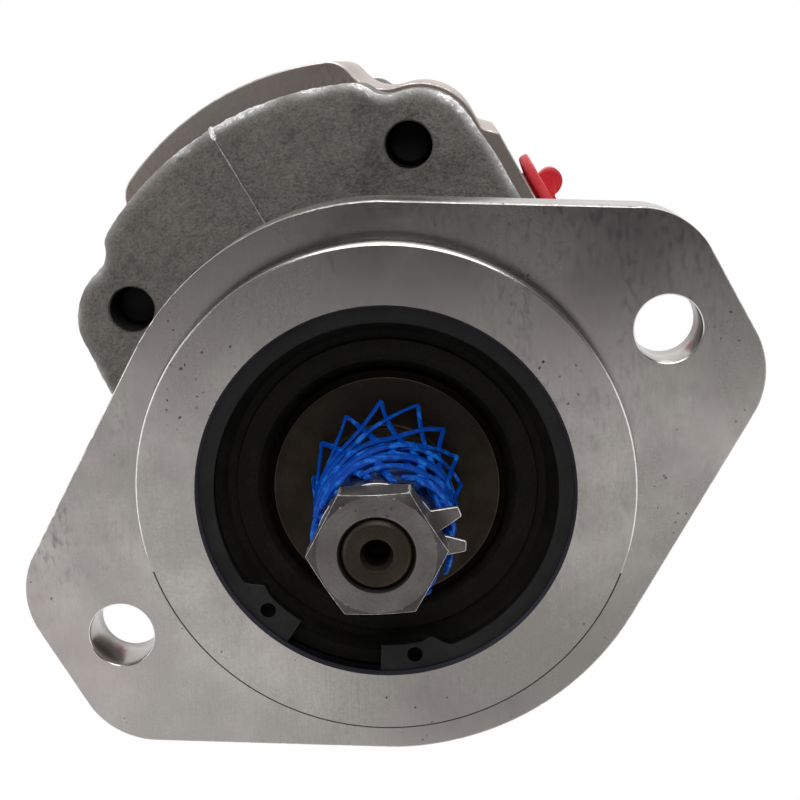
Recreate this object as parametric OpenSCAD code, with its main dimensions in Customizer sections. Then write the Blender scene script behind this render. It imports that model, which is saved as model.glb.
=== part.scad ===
// External gear pump with a two-bolt flange, an outboard ball bearing and a tapered shaft end.
// Y runs along the drive shaft into the pump, Z from the drive gear to the driven gear, and X
// along the flange's bolt line. The origin is on the shaft axis, in the flange's mounting face.

/* [Flange] */
// Distance between the flange's two bolt holes
bolt_span = 106.4; // [104:0.1:109]
// Diameter of a flange bolt hole
bolt_hole_d = 11.1; // [9:0.1:13]
// Length of the flange over its two ends
flange_len = 130.6; // [128:0.1:134]
// Thickness of the flange
flange_t = 11; // [8:0.5:15]
// Radius of the flange's round middle
flange_mid_r = 47.4; // [45:0.1:50]
// Angle of the flange's slanted sides from its length
flange_slant = 31.6; // [29:0.1:34]
// Radius of the corners at the flange's ends
flange_corner_r = 14; // [10:0.5:16]
// Diameter of the round pilot
pilot_d = 82.55; // [80:0.05:84]
// Height of the pilot above the mounting face
pilot_h = 6; // [5:0.1:8]
// Chamfer on the pilot's edge
pilot_chamfer = 0.4; // [0.2:0.1:1]
// Width and depth of the groove in the mounting face round the pilot
pilot_groove = 0.55; // [0.55:0.05:0.8]

/* [Front housing] */
// Distance from the mounting face to the lobed cover's front face
cover_y = 35; // [30:0.5:42]
// Thickness of the lobed cover
cover_t = 24; // [22:0.5:30]
// Radius of the neck between flange and cover
neck_r = 37; // [36:0.5:40]
// Radius of the fillets at the ends of the neck
neck_fillet = 3; // [1:0.5:5]
// Radius of the coupling chamber
chamber_r = 21; // [19:0.5:22]
// Depth of a body bolt's thread in the housing
thread_depth = 16; // [12:0.5:17]
// Depth of the blind lower tapped holes
blind_depth = 19; // [18:0.5:22]
// Tapping drill diameter of the body bolts' thread
tap_d = 8.5; // [8:0.1:9]

/* [Gear body] */
// Distance between the two gear axes
gear_dist = 33; // [32.4:0.1:33.6]
// Length of the gear body
body_len = 58; // [54:0.5:64]
// Width of the body over its two port bosses
boss_w = 90; // [86:0.5:94]
// Height of the port bosses
boss_h = 45.2; // [40:0.1:48]
// Half the distance between the body bolts, along X
body_bolt_x = 29.8; // [29.4:0.1:30.2]
// Distance of the body bolts from the middle plane, along Z
body_bolt_z = 29; // [28.6:0.1:29.4]
// Diameter of a port's tapping hole
port_d = 20.4; // [18:0.1:22]
// Depth of a port's tapping hole
port_depth = 17; // [14:0.5:20]
// Diameter of the passage from a port to the gears
passage_d = 16; // [12:0.5:18]

/* [Rear cover] */
// Thickness of the rear cover
rear_t = 20; // [16:0.5:26]
// Radius of the cast edge round its rear face
rear_edge_r = 2; // [0.5:0.5:3]

/* [Gears] */
// Number of teeth of each gear
teeth = 12; // [12:2:12]
// Width of the gears
gear_w = 24; // [20:0.5:28]
// Pressure angle of the teeth
pressure_angle = 25; // [24:0.5:26]
// Thickness taken off each tooth for backlash
backlash = 0.1; // [0.06:0.01:0.2]
// Depth of the gap under a tooth's tip
root_gap = 0.45; // [0.3:0.05:0.7]
// Diameter of the gear journals
journal_d = 18; // [16:0.5:19]
// Wall of the plain bushes
bush_wall = 1; // [0.8:0.1:1.4]

/* [Drive shaft] */
// Length of the shaft in front of the mounting face
shaft_len = 38.2; // [36:0.1:44]
// Diameter of the seal shoulder
shoulder_d = 40; // [38:0.5:42]
// Distance of the shoulder's front face in front of the mounting face
shoulder_out = 0.9; // [0.5:0.1:1.5]
// Diameter of the taper's small end
taper_small_d = 17.4; // [16.5:0.1:18]
// Taper on diameter, as a ratio
taper_ratio = 0.125; // [0.1:0.005:0.15]
// Diameter of the thread, as it is modelled plain
thread_d = 10.7; // [10.5:0.1:11]
// Diameter of the centre hole
centre_d = 3.8; // [3:0.1:4.5]
// Width of the Woodruff key
key_w = 4; // [3:0.5:5]
// Diameter of the Woodruff key
key_d = 13; // [11:0.5:14]
// Height of the key above the taper
key_up = 1.8; // [1.4:0.1:2]

/* [Nut and tab washer] */
// Width of the nut across its flats
nut_af = 18; // [17:0.1:19]
// Thickness of the nut
nut_t = 6; // [5:0.1:7]
// Turn of the nut from its corner on the X axis
nut_turn = 32.4; // [0:0.1:60]
// Thickness of the tab washer
tab_t = 1; // [0.6:0.1:1.2]
// Radius of the tab washer's disc
tab_disc_r = 9.2; // [8.5:0.1:9.5]
// Radius at the tips of its tangs
tab_tip_r = 13; // [12:0.1:14]

/* [Ball bearing and seal] */
// Outer diameter of the ball bearing, seal and bore
bore_d = 62; // [62:0.1:62.8]
// Inner diameter of the ball bearing
bearing_d = 35; // [34:0.1:35]
// Width of the ball bearing
bearing_w = 14; // [13:0.1:15]
// Diameter of a ball
ball_d = 7.94; // [7.5:0.02:7.94]
// Number of balls
balls = 11; // [9:1:11]
// Width of the shaft seal
seal_w = 7; // [6.5:0.1:8]
// Thickness of the internal circlip
circlip_t = 2; // [1.5:0.1:2.4]
// Radius of the internal circlip's inner edge
circlip_in_r = 28.4; // [28:0.1:29]
// Distance from the pilot's front face to the circlip
circlip_depth = 1.2; // [1:0.1:1.6]

/* [Transport parts] */
// Diameter of a port plug's flange
plug_flange_d = 26.6; // [24:0.1:30]
// Thickness of a port plug's flange
plug_flange_t = 2.2; // [1:0.1:3]
// Depth of a port plug in its port
plug_depth = 9; // [7:0.5:11]
// Wall of a port plug's skirt
plug_wall = 1.5; // [1:0.1:2]
// Length of a port plug's grip
grip_len = 17.2; // [14:0.2:20]
// Height of a port plug's grip above its flange
grip_h = 5; // [3:0.5:7]
// Thickness of a port plug's grip
grip_t = 5; // [3:0.5:7]
// Thickness of the net sleeve
net_t = 1; // [0.8:0.1:1.4]
// Radius of the net's flared end
net_flare_r = 14.5; // [12.5:0.1:16]

/* [Hidden] */
$fn = 96;

// Clearances: running between parts that turn, fit between parts that stay, seat between others
running = 0.05;
fit = 0.02;
seat = 0.1;
// Extra length of a cut past a face
past = 1;

// Places along the shaft
bore_r = bore_d / 2;
pilot_y = -pilot_h;
circlip_y = pilot_y + circlip_depth;
seal_y = circlip_y + circlip_t;
bearing_y = seal_y + seal_w;
bearing_end = bearing_y + bearing_w;
cover_end = cover_y + cover_t;
body_end = cover_end + body_len;
rear_end = body_end + rear_t;
gear_y = cover_end + (body_len - gear_w) / 2;
gear_end = gear_y + gear_w;
port_y = cover_end + body_len / 2;
mid_z = gear_dist / 2;

// Shaft circlip behind the bearing and the couplings behind it
ring_t = 1.5;
ring_groove_r = bearing_d / 2 - 1;
ring_r = bearing_d / 2 + 2.4;
collar_w = 2.6;
collar_end = bearing_end + ring_t + 2 * seat + collar_w;
tang_w = 9.8;
tang_h = 5.4;
slot_h = 5.6;
coupling_r = 15;
coupling_t = 12;
coupling_y = collar_end + 0.2;
stub_y = coupling_y + coupling_t + 0.2;
tang_len = 26;

// Inner seal
inner_seal_w = 7;
inner_seal_r = 15;
inner_seal_end = cover_end - 10;
inner_seal_y = inner_seal_end - inner_seal_w;
throat_r = journal_d / 2 + 0.6;
shoulder_r = bore_r - 3.5;
shoulder_t = 3;

// The neck narrows behind the bearing, so that it meets the cover inside its rounded edge
neck_end = bearing_end + shoulder_t + 3;
neck_low_r = 28;

// Gears
pitch_r = gear_dist / 2;
gear_module = gear_dist / teeth;
tip_r = pitch_r + gear_module;
root_r = gear_dist - tip_r - root_gap;
base_r = pitch_r * cos(pressure_angle);
cavity_r = tip_r + running;
block_r = tip_r;
bush_r = journal_d / 2 + bush_wall;
flank_steps = 6;
journal_gap = 0.3;

// Seal bands in the block ends and the body ends
band_depth = 2.5;
band_in = bush_r + 5.3;
band_out = tip_r - 1.55;
band_split = (band_in + band_out) / 2;
band_cut = -4;
ring_band_in = tip_r + 2.8;
ring_band_w = 2.4;
ring_band_depth = 2;
relief_w = 5;
relief_h = 7;
relief_x = 6;
relief_depth = 1.5;

// Body bolts, washers and dowels
bolt_r = 4.95;
bolt_clear = 5.25;
bolt_tip_r = tap_d / 2 - running;
bolt_head_af = 16;
bolt_head_h = 6.4;
washer_t = 2;
washer_r = 10;
dowel_r = 3;
dowel_len = 12;
dowel_x = 34;
dowel_z = gear_dist / 2 + 2;

// Taper and nut
nut_y = -shaft_len;
tab_y = nut_y + nut_t;
taper_y = tab_y + tab_t;
taper_end = -shoulder_out - 2.4;
taper_small_r = taper_small_d / 2;
taper_big_r = taper_small_r + (taper_end - taper_y) * taper_ratio / 2;
key_y = (taper_y + taper_end) / 2;
key_top = taper_small_r + (key_y - taper_y) * taper_ratio / 2 + key_up;
key_centre = key_top - key_d * 0.42;
hole_depth = 7;
thread_end_chamfer = 0.7;

// Circlip lugs, as angles in the XZ plane
lug_mid = -137.6;
lug_gap = 30.8;
lug_span = 24;
lug_in_r = 26.4;
lug_hole_r = 1.3;
lug_hole_at = 11.6;
circlip_groove_r = bore_r + 1.5;
circlip_out_r = circlip_groove_r - seat;

// Ball bearing
ball_r = ball_d / 2;
ball_pitch_r = (bore_r + bearing_d / 2) / 2 + 0.25;
race_r = ball_r * 1.04;
ring_in_r = ball_pitch_r - 2.4;
ring_out_r = ball_pitch_r + 2.4;
ball_y = bearing_y + bearing_w / 2;
cage_half_t = 1.3;
cage_half_w = 5.2;

// Tab washer tangs, as angles in the XZ plane
tang_angles = [-7.8, -32];
tang_root_w = 3.4;
tang_tip_w = 1.8;

// Chamfer at the mouth of a port
port_mouth = 1.2;

// How far a port boss stands out of the body's side
boss_step = 2.5;

// Outlines: dome top, dome radius, dome corner [x, r], lobe [x, z from the middle, r], valley
// radius, half width
body_half_w = boss_w / 2 - boss_step;
COVER = [49.5, 60, [23.8, 5], [30.4, 26.9, 11.3], 5, body_half_w];
BODY = [54.6, 57.4, [20.6, 5], [30.2, 26.8, 12.3], 9, body_half_w];

// Moves a shape that was drawn up the Z axis so that it lies along Y, from y on
module along_y(y = 0) {
    translate([0, y, 0]) rotate([-90, 0, 0]) children();
}

// Turns a profile of [radius, y] points round the shaft axis
module turned(profile) {
    along_y() rotate_extrude() polygon(profile);
}

// Extrudes a drawing in X and Z from y to y_end
module slab(y, y_end) {
    along_y(y) linear_extrude(height = y_end - y) mirror([0, 1, 0]) children();
}

// A plain cylinder along Y
module rod(r, y, y_end) {
    along_y(y) cylinder(r = r, h = y_end - y);
}

// A cone along Y
module cone(r1, r2, y, y_end) {
    along_y(y) cylinder(r1 = r1, r2 = r2, h = y_end - y);
}

// Copies children to the four body bolts
module at_bolts() {
    for (sx = [-1, 1], sz = [-1, 1])
        translate([sx * body_bolt_x, 0, mid_z + sz * body_bolt_z]) children();
}

// Copies children to the two gear axes
module at_gears() {
    for (z = [0, gear_dist]) translate([0, 0, z]) children();
}

// Copies children to the two dowels of one joint face
module at_dowels() {
    for (s = [-1, 1]) translate([s * dowel_x, 0, mid_z + s * dowel_z]) children();
}

// Points on an arc, without its last point
function arc(c, r, a, b, n) =
    [for (i = [0 : n - 1]) let (t = a + (b - a) * i / n) [c[0] + r * cos(t), c[1] + r * sin(t)]];

// Angle of the line from p to q
function heading(p, q) = atan2(q[1] - p[1], q[0] - p[0]);

// Centre of a circle at distance ra from a and rb from b, on the right of the way from a to b
function third(a, ra, b, rb) =
    let (d = norm(b - a), u = (b - a) / d, x = (ra * ra - rb * rb + d * d) / (2 * d))
    a + x * u + sqrt(ra * ra - x * x) * [-u[1], u[0]];

// One quarter of an outline, from the top round to the middle plane, about the middle
function quarter(o) =
    let (
        dome = [0, o[0] - o[1]],
        cr = o[2][1],
        corner = [o[2][0], dome[1] + sqrt(pow(o[1] - cr, 2) - pow(o[2][0], 2))],
        lobe = [o[3][0], o[3][1]],
        lr = o[3][2],
        vr = o[4],
        valley = third(corner, cr + vr, lobe, lr + vr),
        a1 = heading(dome, corner),
        a2 = heading(corner, valley),
        a3 = heading(lobe, valley)
    )
    concat(
        arc(dome, o[1], 90, a1, 8),
        arc(corner, cr, a1, a2, 6),
        arc(valley, vr, a2 + 180, a3 + 180, 6),
        arc(lobe, lr, a3, -8, 12),
        [[o[5], o[3][1] - 8]]
    );

// Mirrored copy of a point list, in reverse order so that the outline runs on
function flip(points, k) = [for (i = [len(points) - 1 : -1 : 0]) [points[i][0] * k[0], points[i][1] * k[1]]];

// The whole closed outline, about the middle, clockwise from the top
function outline(o) =
    let (q = quarter(o), tail = [for (i = [1 : len(q) - 1]) q[i]])
    concat(q, flip(tail, [1, -1]), [[0, -q[0][1]]], [for (p = tail) [-p[0], -p[1]]], flip(tail, [-1, 1]));

// Outline moved inwards along its normals
function inset(points, d) =
    let (n = len(points))
    [for (i = [0 : n - 1])
        let (t = points[(i + 1) % n] - points[(i + n - 1) % n], u = t / norm(t))
        points[i] + d * [u[1], -u[0]]];

// One ring of a rounded plate: the outline moved in by d and set at y
function ring(points, d, y) = [for (p = inset(points, d)) [p[0], y, p[1] + mid_z]];

// A cast plate from y to y_end with a rounded edge of radius r round its face at y
module cast_plate(o, y, y_end, r) {
    steps = 4;
    base = outline(o);
    n = len(base);
    dir = y_end > y ? 1 : -1;
    rings = concat(
        [for (i = [0 : steps]) let (a = 90 * i / steps) ring(base, r * (1 - sin(a)), y + dir * r * (1 - cos(a)))],
        [ring(base, 0, y_end)]
    );
    m = len(rings);
    points = [for (one = rings) for (p = one) p];
    sides = [for (k = [0 : m - 2], i = [0 : n - 1])
        let (a = k * n + i, b = k * n + (i + 1) % n) [a, b, b + n, a + n]];
    caps = [[for (i = [n - 1 : -1 : 0]) i], [for (i = [0 : n - 1]) (m - 1) * n + i]];
    faces = concat(sides, caps);
    polyhedron(points, dir > 0 ? faces : [for (f = faces) [for (i = [len(f) - 1 : -1 : 0]) f[i]]]);
}

// The flange's outline, with round middle, slanted sides and round corners at the ends
module flange_outline() {
    end_x = flange_len / 2;
    n = [sin(flange_slant), cos(flange_slant)];
    cx = end_x - flange_corner_r;
    cz = (flange_mid_r - flange_corner_r - n[0] * cx) / n[1];
    quad = [
        [end_x, cz],
        [cx + flange_corner_r * n[0], cz + flange_corner_r * n[1]],
        [flange_mid_r * n[0], flange_mid_r * n[1]]
    ];
    circle(r = flange_mid_r);
    for (sx = [-1, 1], sz = [-1, 1]) translate([sx * cx, sz * cz]) circle(r = flange_corner_r);
    for (k = [-1, 1])
        polygon(concat(
            [[0, 0]],
            [for (i = [2 : -1 : 0]) [k * quad[i][0], quad[i][1]]],
            [for (p = quad) [k * p[0], -p[1]]]
        ));
}

// Material of the front housing before its bores are cut
module housing_blank() {
    slab(0, flange_t) flange_outline();
    turned([
        [0, pilot_y],
        [pilot_d / 2 - pilot_chamfer, pilot_y],
        [pilot_d / 2, pilot_y + pilot_chamfer],
        [pilot_d / 2, flange_t / 2],
        [0, flange_t / 2]
    ]);
    turned([
        [0, flange_t - 1],
        [neck_r + neck_fillet, flange_t - 1],
        [neck_r + neck_fillet, flange_t],
        [neck_r + neck_fillet / 3, flange_t + neck_fillet / 3],
        [neck_r, flange_t + neck_fillet],
        [neck_r, neck_end],
        [neck_low_r + neck_fillet / 3, cover_y - neck_fillet],
        [neck_low_r, cover_y],
        [neck_low_r, cover_y + 1],
        [0, cover_y + 1]
    ]);
    slab(cover_y, cover_end) translate([0, mid_z]) polygon(outline(COVER));
}

module front_housing() {
    color("silver")
    difference() {
        housing_blank();
        turned([
            [0, pilot_y - past],
            [bore_r + pilot_chamfer + past, pilot_y - past],
            [bore_r, pilot_y + pilot_chamfer],
            [bore_r, bearing_end],
            [shoulder_r, bearing_end],
            [shoulder_r, bearing_end + shoulder_t],
            [chamber_r, bearing_end + shoulder_t],
            [chamber_r, inner_seal_y],
            [inner_seal_r + fit, inner_seal_y],
            [inner_seal_r + fit, inner_seal_end],
            [throat_r, inner_seal_end],
            [throat_r, cover_end + past],
            [0, cover_end + past]
        ]);
        rod(circlip_groove_r, circlip_y - seat, seal_y + seat);
        difference() {
            rod(pilot_d / 2 + pilot_groove, -past, pilot_groove);
            rod(pilot_d / 2, -2 * past, 2 * past);
        }
        for (s = [-1, 1]) translate([s * bolt_span / 2, 0, 0]) rod(bolt_hole_d / 2, -past, flange_t + past);
        for (s = [-1, 1])
            translate([s * body_bolt_x, 0, mid_z + body_bolt_z])
                rod(tap_d / 2, cover_y - past, cover_end + past);
        for (s = [-1, 1])
            translate([s * body_bolt_x, 0, mid_z - body_bolt_z])
                rod(tap_d / 2, cover_end - blind_depth, cover_end + past);
        at_dowels() rod(dowel_r + fit, cover_end - dowel_len / 2 - seat, cover_end + past);
    }
}

// Outline of the gear body, with its two flat port bosses
module body_outline() {
    x = body_half_w;
    h = boss_h / 2;
    slope = boss_step / 2;
    wide = [[x, h + slope], [boss_w / 2, h - slope], [boss_w / 2, slope - h], [x, -h - slope]];
    translate([0, mid_z]) {
        polygon(outline(BODY));
        polygon(concat(wide, [for (p = wide) -p]));
    }
}

// Band between two sizes of the figure-of-eight
module eight_band(r_in, r_out) {
    difference() {
        for (z = [0, gear_dist]) translate([0, z]) circle(r = r_out);
        for (z = [0, gear_dist]) translate([0, z]) circle(r = r_in);
    }
}

module gear_body() {
    color("darkgray")
    difference() {
        slab(cover_end, body_end) body_outline();
        at_gears() rod(cavity_r, cover_end - past, body_end + past);
        at_bolts() rod(bolt_clear, cover_end - past, body_end + past);
        for (y = [cover_end, body_end])
            at_dowels() rod(dowel_r + fit, y - dowel_len / 2 - seat, y + dowel_len / 2 + seat);
        slab(cover_end - past, cover_end + ring_band_depth)
            eight_band(ring_band_in, ring_band_in + ring_band_w);
        slab(body_end - ring_band_depth, body_end + past)
            eight_band(ring_band_in, ring_band_in + ring_band_w);
        for (s = [0, 180])
            translate([0, port_y, mid_z]) rotate([0, 90 + s, 0]) {
                cylinder(r = passage_d / 2, h = boss_w / 2);
                translate([0, 0, boss_w / 2 - port_depth]) cylinder(r = port_d / 2, h = port_depth + past);
                translate([0, 0, boss_w / 2 - port_mouth])
                    cylinder(r1 = port_d / 2, r2 = port_d / 2 + port_mouth, h = port_mouth);
                translate([0, 0, boss_w / 2 - 0.01]) cylinder(r = port_d / 2 + port_mouth, h = past);
            }
    }
}

module rear_cover() {
    color("silver")
    difference() {
        cast_plate(COVER, rear_end, body_end, rear_edge_r);
        at_bolts() rod(bolt_clear, body_end - past, rear_end + past);
        at_dowels() rod(dowel_r + fit, body_end - past, body_end + dowel_len / 2 + seat);
        at_gears() rod(bush_r - bush_wall, body_end - past, body_end + 3);
    }
}

module drive_shaft() {
    color("dimgray")
    difference() {
        union() {
            turned([
                [0, nut_y],
                [thread_d / 2 - thread_end_chamfer, nut_y],
                [thread_d / 2, nut_y + thread_end_chamfer],
                [thread_d / 2, taper_y],
                [taper_small_r - 0.4, taper_y],
                [taper_small_r, taper_y + 0.4],
                [taper_big_r, taper_end],
                [taper_big_r, -shoulder_out - 0.6],
                [taper_big_r + 0.6, -shoulder_out],
                [shoulder_d / 2 - 1.3, -shoulder_out],
                [shoulder_d / 2, -shoulder_out + 0.5],
                [shoulder_d / 2, bearing_y],
                [bearing_d / 2, bearing_y],
                [bearing_d / 2, bearing_end + seat / 2],
                [ring_groove_r, bearing_end + seat / 2],
                [ring_groove_r, bearing_end + ring_t + seat * 1.5],
                [bearing_d / 2, bearing_end + ring_t + seat * 1.5],
                [bearing_d / 2, collar_end - 0.5],
                [bearing_d / 2 - 0.5, collar_end],
                [0, collar_end]
            ]);
            translate([-tang_len / 2, collar_end - 1, -tang_w / 2]) cube([tang_len, tang_h + 1, tang_w]);
        }
        cone(centre_d / 2 + 0.9, centre_d / 2, nut_y, nut_y + 1);
        rod(centre_d / 2, nut_y - past, nut_y + hole_depth);
        translate([0, key_y, -key_centre]) rotate([0, 90, 0])
            cylinder(r = key_d / 2 + seat, h = key_w + 2 * fit, center = true);
    }
}

module woodruff_key() {
    color("gray")
    intersection() {
        translate([0, key_y, -key_centre]) rotate([0, 90, 0])
            cylinder(r = key_d / 2, h = key_w, center = true);
        translate([0, key_y, -key_top + key_d / 2]) cube([key_w + 2, key_d + 2, key_d], center = true);
    }
}

module hex_nut() {
    corner = nut_af / sqrt(3);
    lip = 0.8;
    color("lightsteelblue")
    difference() {
        intersection() {
            rotate([0, -nut_turn, 0]) along_y(nut_y) cylinder(r = corner, h = nut_t, $fn = 6);
            turned([
                [0, nut_y], [nut_af / 2 - 0.2, nut_y], [corner + 0.1, nut_y + lip],
                [corner + 0.1, tab_y - lip], [nut_af / 2 - 0.2, tab_y], [0, tab_y]
            ]);
        }
        rod(thread_d / 2 + running, nut_y - past, tab_y + past);
        cone(thread_d / 2 + 0.6, thread_d / 2, nut_y - 0.01, nut_y + 0.6);
    }
}

module tab_washer() {
    color("gainsboro")
    slab(tab_y, taper_y)
    difference() {
        union() {
            circle(r = tab_disc_r);
            for (a = tang_angles)
                rotate(a) polygon([
                    [0, -tang_root_w / 2], [tab_disc_r, -tang_root_w / 2],
                    [tab_tip_r - 0.4, -tang_tip_w / 2], [tab_tip_r, -tang_tip_w / 4],
                    [tab_tip_r, tang_tip_w / 4], [tab_tip_r - 0.4, tang_tip_w / 2],
                    [tab_disc_r, tang_root_w / 2], [0, tang_root_w / 2]
                ]);
        }
        circle(r = thread_d / 2 + seat);
    }
}

module mesh_sleeve() {
    gap = 0.3;
    flare_y = taper_end - 6;
    color("blue")
    difference() {
        turned([
            [taper_small_r + gap, taper_y + 0.5],
            [taper_big_r + gap, flare_y],
            [net_flare_r - net_t, -shoulder_out - gap],
            [net_flare_r, -shoulder_out - gap],
            [taper_big_r + gap + net_t, flare_y],
            [taper_small_r + gap + net_t, taper_y + 0.5]
        ]);
        translate([0, key_y, -key_top]) cube([key_w + 2 * gap, key_d + 2 * gap, key_up * 4], center = true);
    }
}

module shaft_seal() {
    lip_r = shoulder_d / 2 + running;
    back = bearing_y - 0.6;
    color("black")
    turned([
        [bore_r - fit, seal_y + 0.5],
        [bore_r - 0.5, seal_y],
        [bore_r - 2.8, seal_y],
        [bore_r - 3.6, seal_y + 1.2],
        [lip_r + 6.6, seal_y + 2.7],
        [lip_r + 5.2, seal_y + 2.9],
        [lip_r + 5, seal_y + 2.2],
        [lip_r + 2.4, seal_y + 2.3],
        [lip_r + 1.6, seal_y + 2.6],
        [lip_r, seal_y + 4.6],
        [lip_r, seal_y + 5],
        [lip_r + 1.6, back],
        [lip_r + 3, back],
        [lip_r + 3, seal_y + 4.4],
        [bore_r - 2.4, seal_y + 4.4],
        [bore_r - 2.4, bearing_y],
        [bore_r - fit, bearing_y]
    ]);
}

// Sector of a disc between two angles, big enough for the circlip
module wedge(a, b) {
    far = 2 * bore_r;
    polygon([[0, 0], for (t = [a : (b - a) / 4 : b + 0.01]) [far * cos(t), far * sin(t)]]);
}

module internal_circlip() {
    color("black")
    slab(circlip_y, seal_y)
    difference() {
        union() {
            difference() {
                circle(r = circlip_out_r);
                circle(r = circlip_in_r);
                wedge(lug_mid - lug_gap / 2, lug_mid + lug_gap / 2);
            }
            for (s = [-1, 1])
                intersection() {
                    difference() {
                        circle(r = circlip_out_r - 1);
                        circle(r = lug_in_r);
                    }
                    wedge(lug_mid + s * lug_gap / 2 + min(0, s * lug_span), lug_mid + s * lug_gap / 2 + max(0, s * lug_span));
                }
        }
        for (s = [-1, 1])
            rotate(lug_mid + s * (lug_gap / 2 + lug_hole_at)) translate([bore_r - 2.5, 0]) circle(r = lug_hole_r);
    }
}

module bearing_outer_ring() {
    color("silver")
    difference() {
        turned([
            [ring_out_r, bearing_y], [bore_r - 0.6, bearing_y], [bore_r - fit, bearing_y + 0.6],
            [bore_r - fit, bearing_end - 0.6], [bore_r - 0.6, bearing_end], [ring_out_r, bearing_end]
        ]);
        along_y(ball_y) rotate_extrude() translate([ball_pitch_r + ball_r + running - race_r, 0]) circle(r = race_r);
    }
}

module bearing_inner_ring() {
    color("silver")
    difference() {
        turned([
            [bearing_d / 2 + fit, bearing_y + 0.6], [bearing_d / 2 + 0.6, bearing_y], [ring_in_r, bearing_y],
            [ring_in_r, bearing_end], [bearing_d / 2 + 0.6, bearing_end], [bearing_d / 2 + fit, bearing_end - 0.6]
        ]);
        along_y(ball_y) rotate_extrude() translate([ball_pitch_r - ball_r - running + race_r, 0]) circle(r = race_r);
    }
}

// Copies children to the balls' places
module at_balls() {
    for (i = [0 : balls - 1])
        rotate([0, i * 360 / balls, 0]) translate([ball_pitch_r, ball_y, 0]) children();
}

module bearing_balls() {
    color("lightgray") at_balls() sphere(r = ball_r);
}

module bearing_cage() {
    color("goldenrod")
    difference() {
        turned([
            [ball_pitch_r - cage_half_t, ball_y - cage_half_w], [ball_pitch_r + cage_half_t, ball_y - cage_half_w],
            [ball_pitch_r + cage_half_t, ball_y + cage_half_w], [ball_pitch_r - cage_half_t, ball_y + cage_half_w]
        ]);
        at_balls() rotate([0, 90, 0]) cylinder(r = ball_r + running, h = 3 * cage_half_t, center = true);
    }
}

module shaft_circlip() {
    gap = 10;
    color("black")
    slab(bearing_end + seat / 2, bearing_end + seat / 2 + ring_t)
    difference() {
        union() {
            circle(r = ring_r);
            for (s = [-1, 1]) rotate(90 + s * gap * 1.6) translate([ring_r, 0]) circle(r = 3);
        }
        circle(r = ring_groove_r + seat);
        wedge(90 - gap, 90 + gap);
        for (s = [-1, 1]) rotate(90 + s * gap * 1.6) translate([ring_r, 0]) circle(r = 1.1);
    }
}

module shaft_coupling() {
    slot_w = tang_w + 2 * seat;
    far = 2 * coupling_r;
    color("slategray")
    difference() {
        rod(coupling_r, coupling_y, coupling_y + coupling_t);
        translate([-far / 2, coupling_y - past, -slot_w / 2]) cube([far, slot_h + past, slot_w]);
        translate([-slot_w / 2, coupling_y + coupling_t - slot_h, -far / 2]) cube([slot_w, slot_h + past, far]);
    }
}

module inner_seal() {
    lip = journal_d / 2 + running;
    color("black")
    turned([
        [inner_seal_r, inner_seal_y], [inner_seal_r, inner_seal_end], [inner_seal_r - 1.5, inner_seal_end],
        [inner_seal_r - 1.5, inner_seal_y + 2], [lip + 1.5, inner_seal_y + 2],
        [lip + 1.5, inner_seal_end - 1], [lip, inner_seal_end - 2], [lip, inner_seal_y + 0.6],
        [lip + 0.6, inner_seal_y]
    ]);
}

// Involute function, in degrees
function inv(a) = tan(a) * 180 / PI - a;

// Half angle of a tooth at radius r
function half_angle(r) =
    90 / teeth - backlash / (2 * pitch_r) * 180 / PI + inv(pressure_angle) - inv(acos(min(1, base_r / r)));

// Both flanks of the tooth whose middle is at angle a, from root to root
function tooth(a) =
    let (
        foot = half_angle(base_r),
        right = concat(
            [[root_r, -foot - 1.2], [root_r + 0.7, -foot]],
            [for (i = [0 : flank_steps]) let (r = base_r + (tip_r - base_r) * i / flank_steps) [r, -half_angle(r)]]
        ),
        left = [for (i = [len(right) - 1 : -1 : 0]) [right[i][0], -right[i][1]]]
    )
    [for (p = concat(right, left)) [p[0] * cos(a + p[1]), p[0] * sin(a + p[1])]];

// Drawing of one gear whose first tooth is at angle turn
module gear_drawing(turn) {
    polygon([for (k = [0 : teeth - 1]) for (p = tooth(turn + k * 360 / teeth)) p]);
}

module drive_gear() {
    r = journal_d / 2;
    color("lightgray") {
        slab(gear_y + running, gear_end - running) gear_drawing(90);
        rod(r, stub_y, body_end - journal_gap);
        intersection() {
            translate([-tang_w / 2, stub_y - tang_h, -r]) cube([tang_w, tang_h + 1, 2 * r]);
            rod(r, stub_y - tang_h, stub_y + 1);
        }
    }
}

module driven_gear() {
    color("lightgray")
    translate([0, 0, gear_dist]) {
        slab(gear_y + running, gear_end - running) gear_drawing(90 + 180 / teeth);
        rod(journal_d / 2, cover_end + journal_gap, body_end - journal_gap);
    }
}

// One figure-of-eight block between y and y_end; its seal band is cut at seal_face
module bearing_block(y, y_end, seal_face, gear_face) {
    dir = seal_face < gear_face ? 1 : -1;
    band_y = dir > 0 ? seal_face - past : seal_face - band_depth;
    relief_y = dir > 0 ? gear_face - relief_depth : gear_face - past;
    difference() {
        at_gears() rod(block_r, y, y_end);
        at_gears() rod(bush_r + fit, y - past, y_end + past);
        slab(band_y, band_y + band_depth + past)
            intersection() {
                eight_band(band_in, band_out);
                translate([band_cut, -2 * gear_dist]) square([4 * gear_dist, 5 * gear_dist]);
            }
        for (s = [-1, 1])
            translate([s * relief_x - relief_w / 2, relief_y, mid_z - relief_h / 2])
                cube([relief_w, relief_depth + past, relief_h]);
    }
}

module front_bearing_block() {
    color("tan")
    bearing_block(cover_end + running, gear_y - running, cover_end + running, gear_y - running);
}

module rear_bearing_block() {
    color("tan")
    bearing_block(gear_end + running, body_end - running, body_end - running, gear_end + running);
}

// Two bushes for the journals between y and y_end
module bushes(y, y_end) {
    at_gears() difference() {
        rod(bush_r, y, y_end);
        rod(journal_d / 2 + running / 2, y - past, y_end + past);
    }
}

module front_bushes() {
    color("peru") bushes(cover_end + journal_gap, gear_y - running - seat);
}

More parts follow.
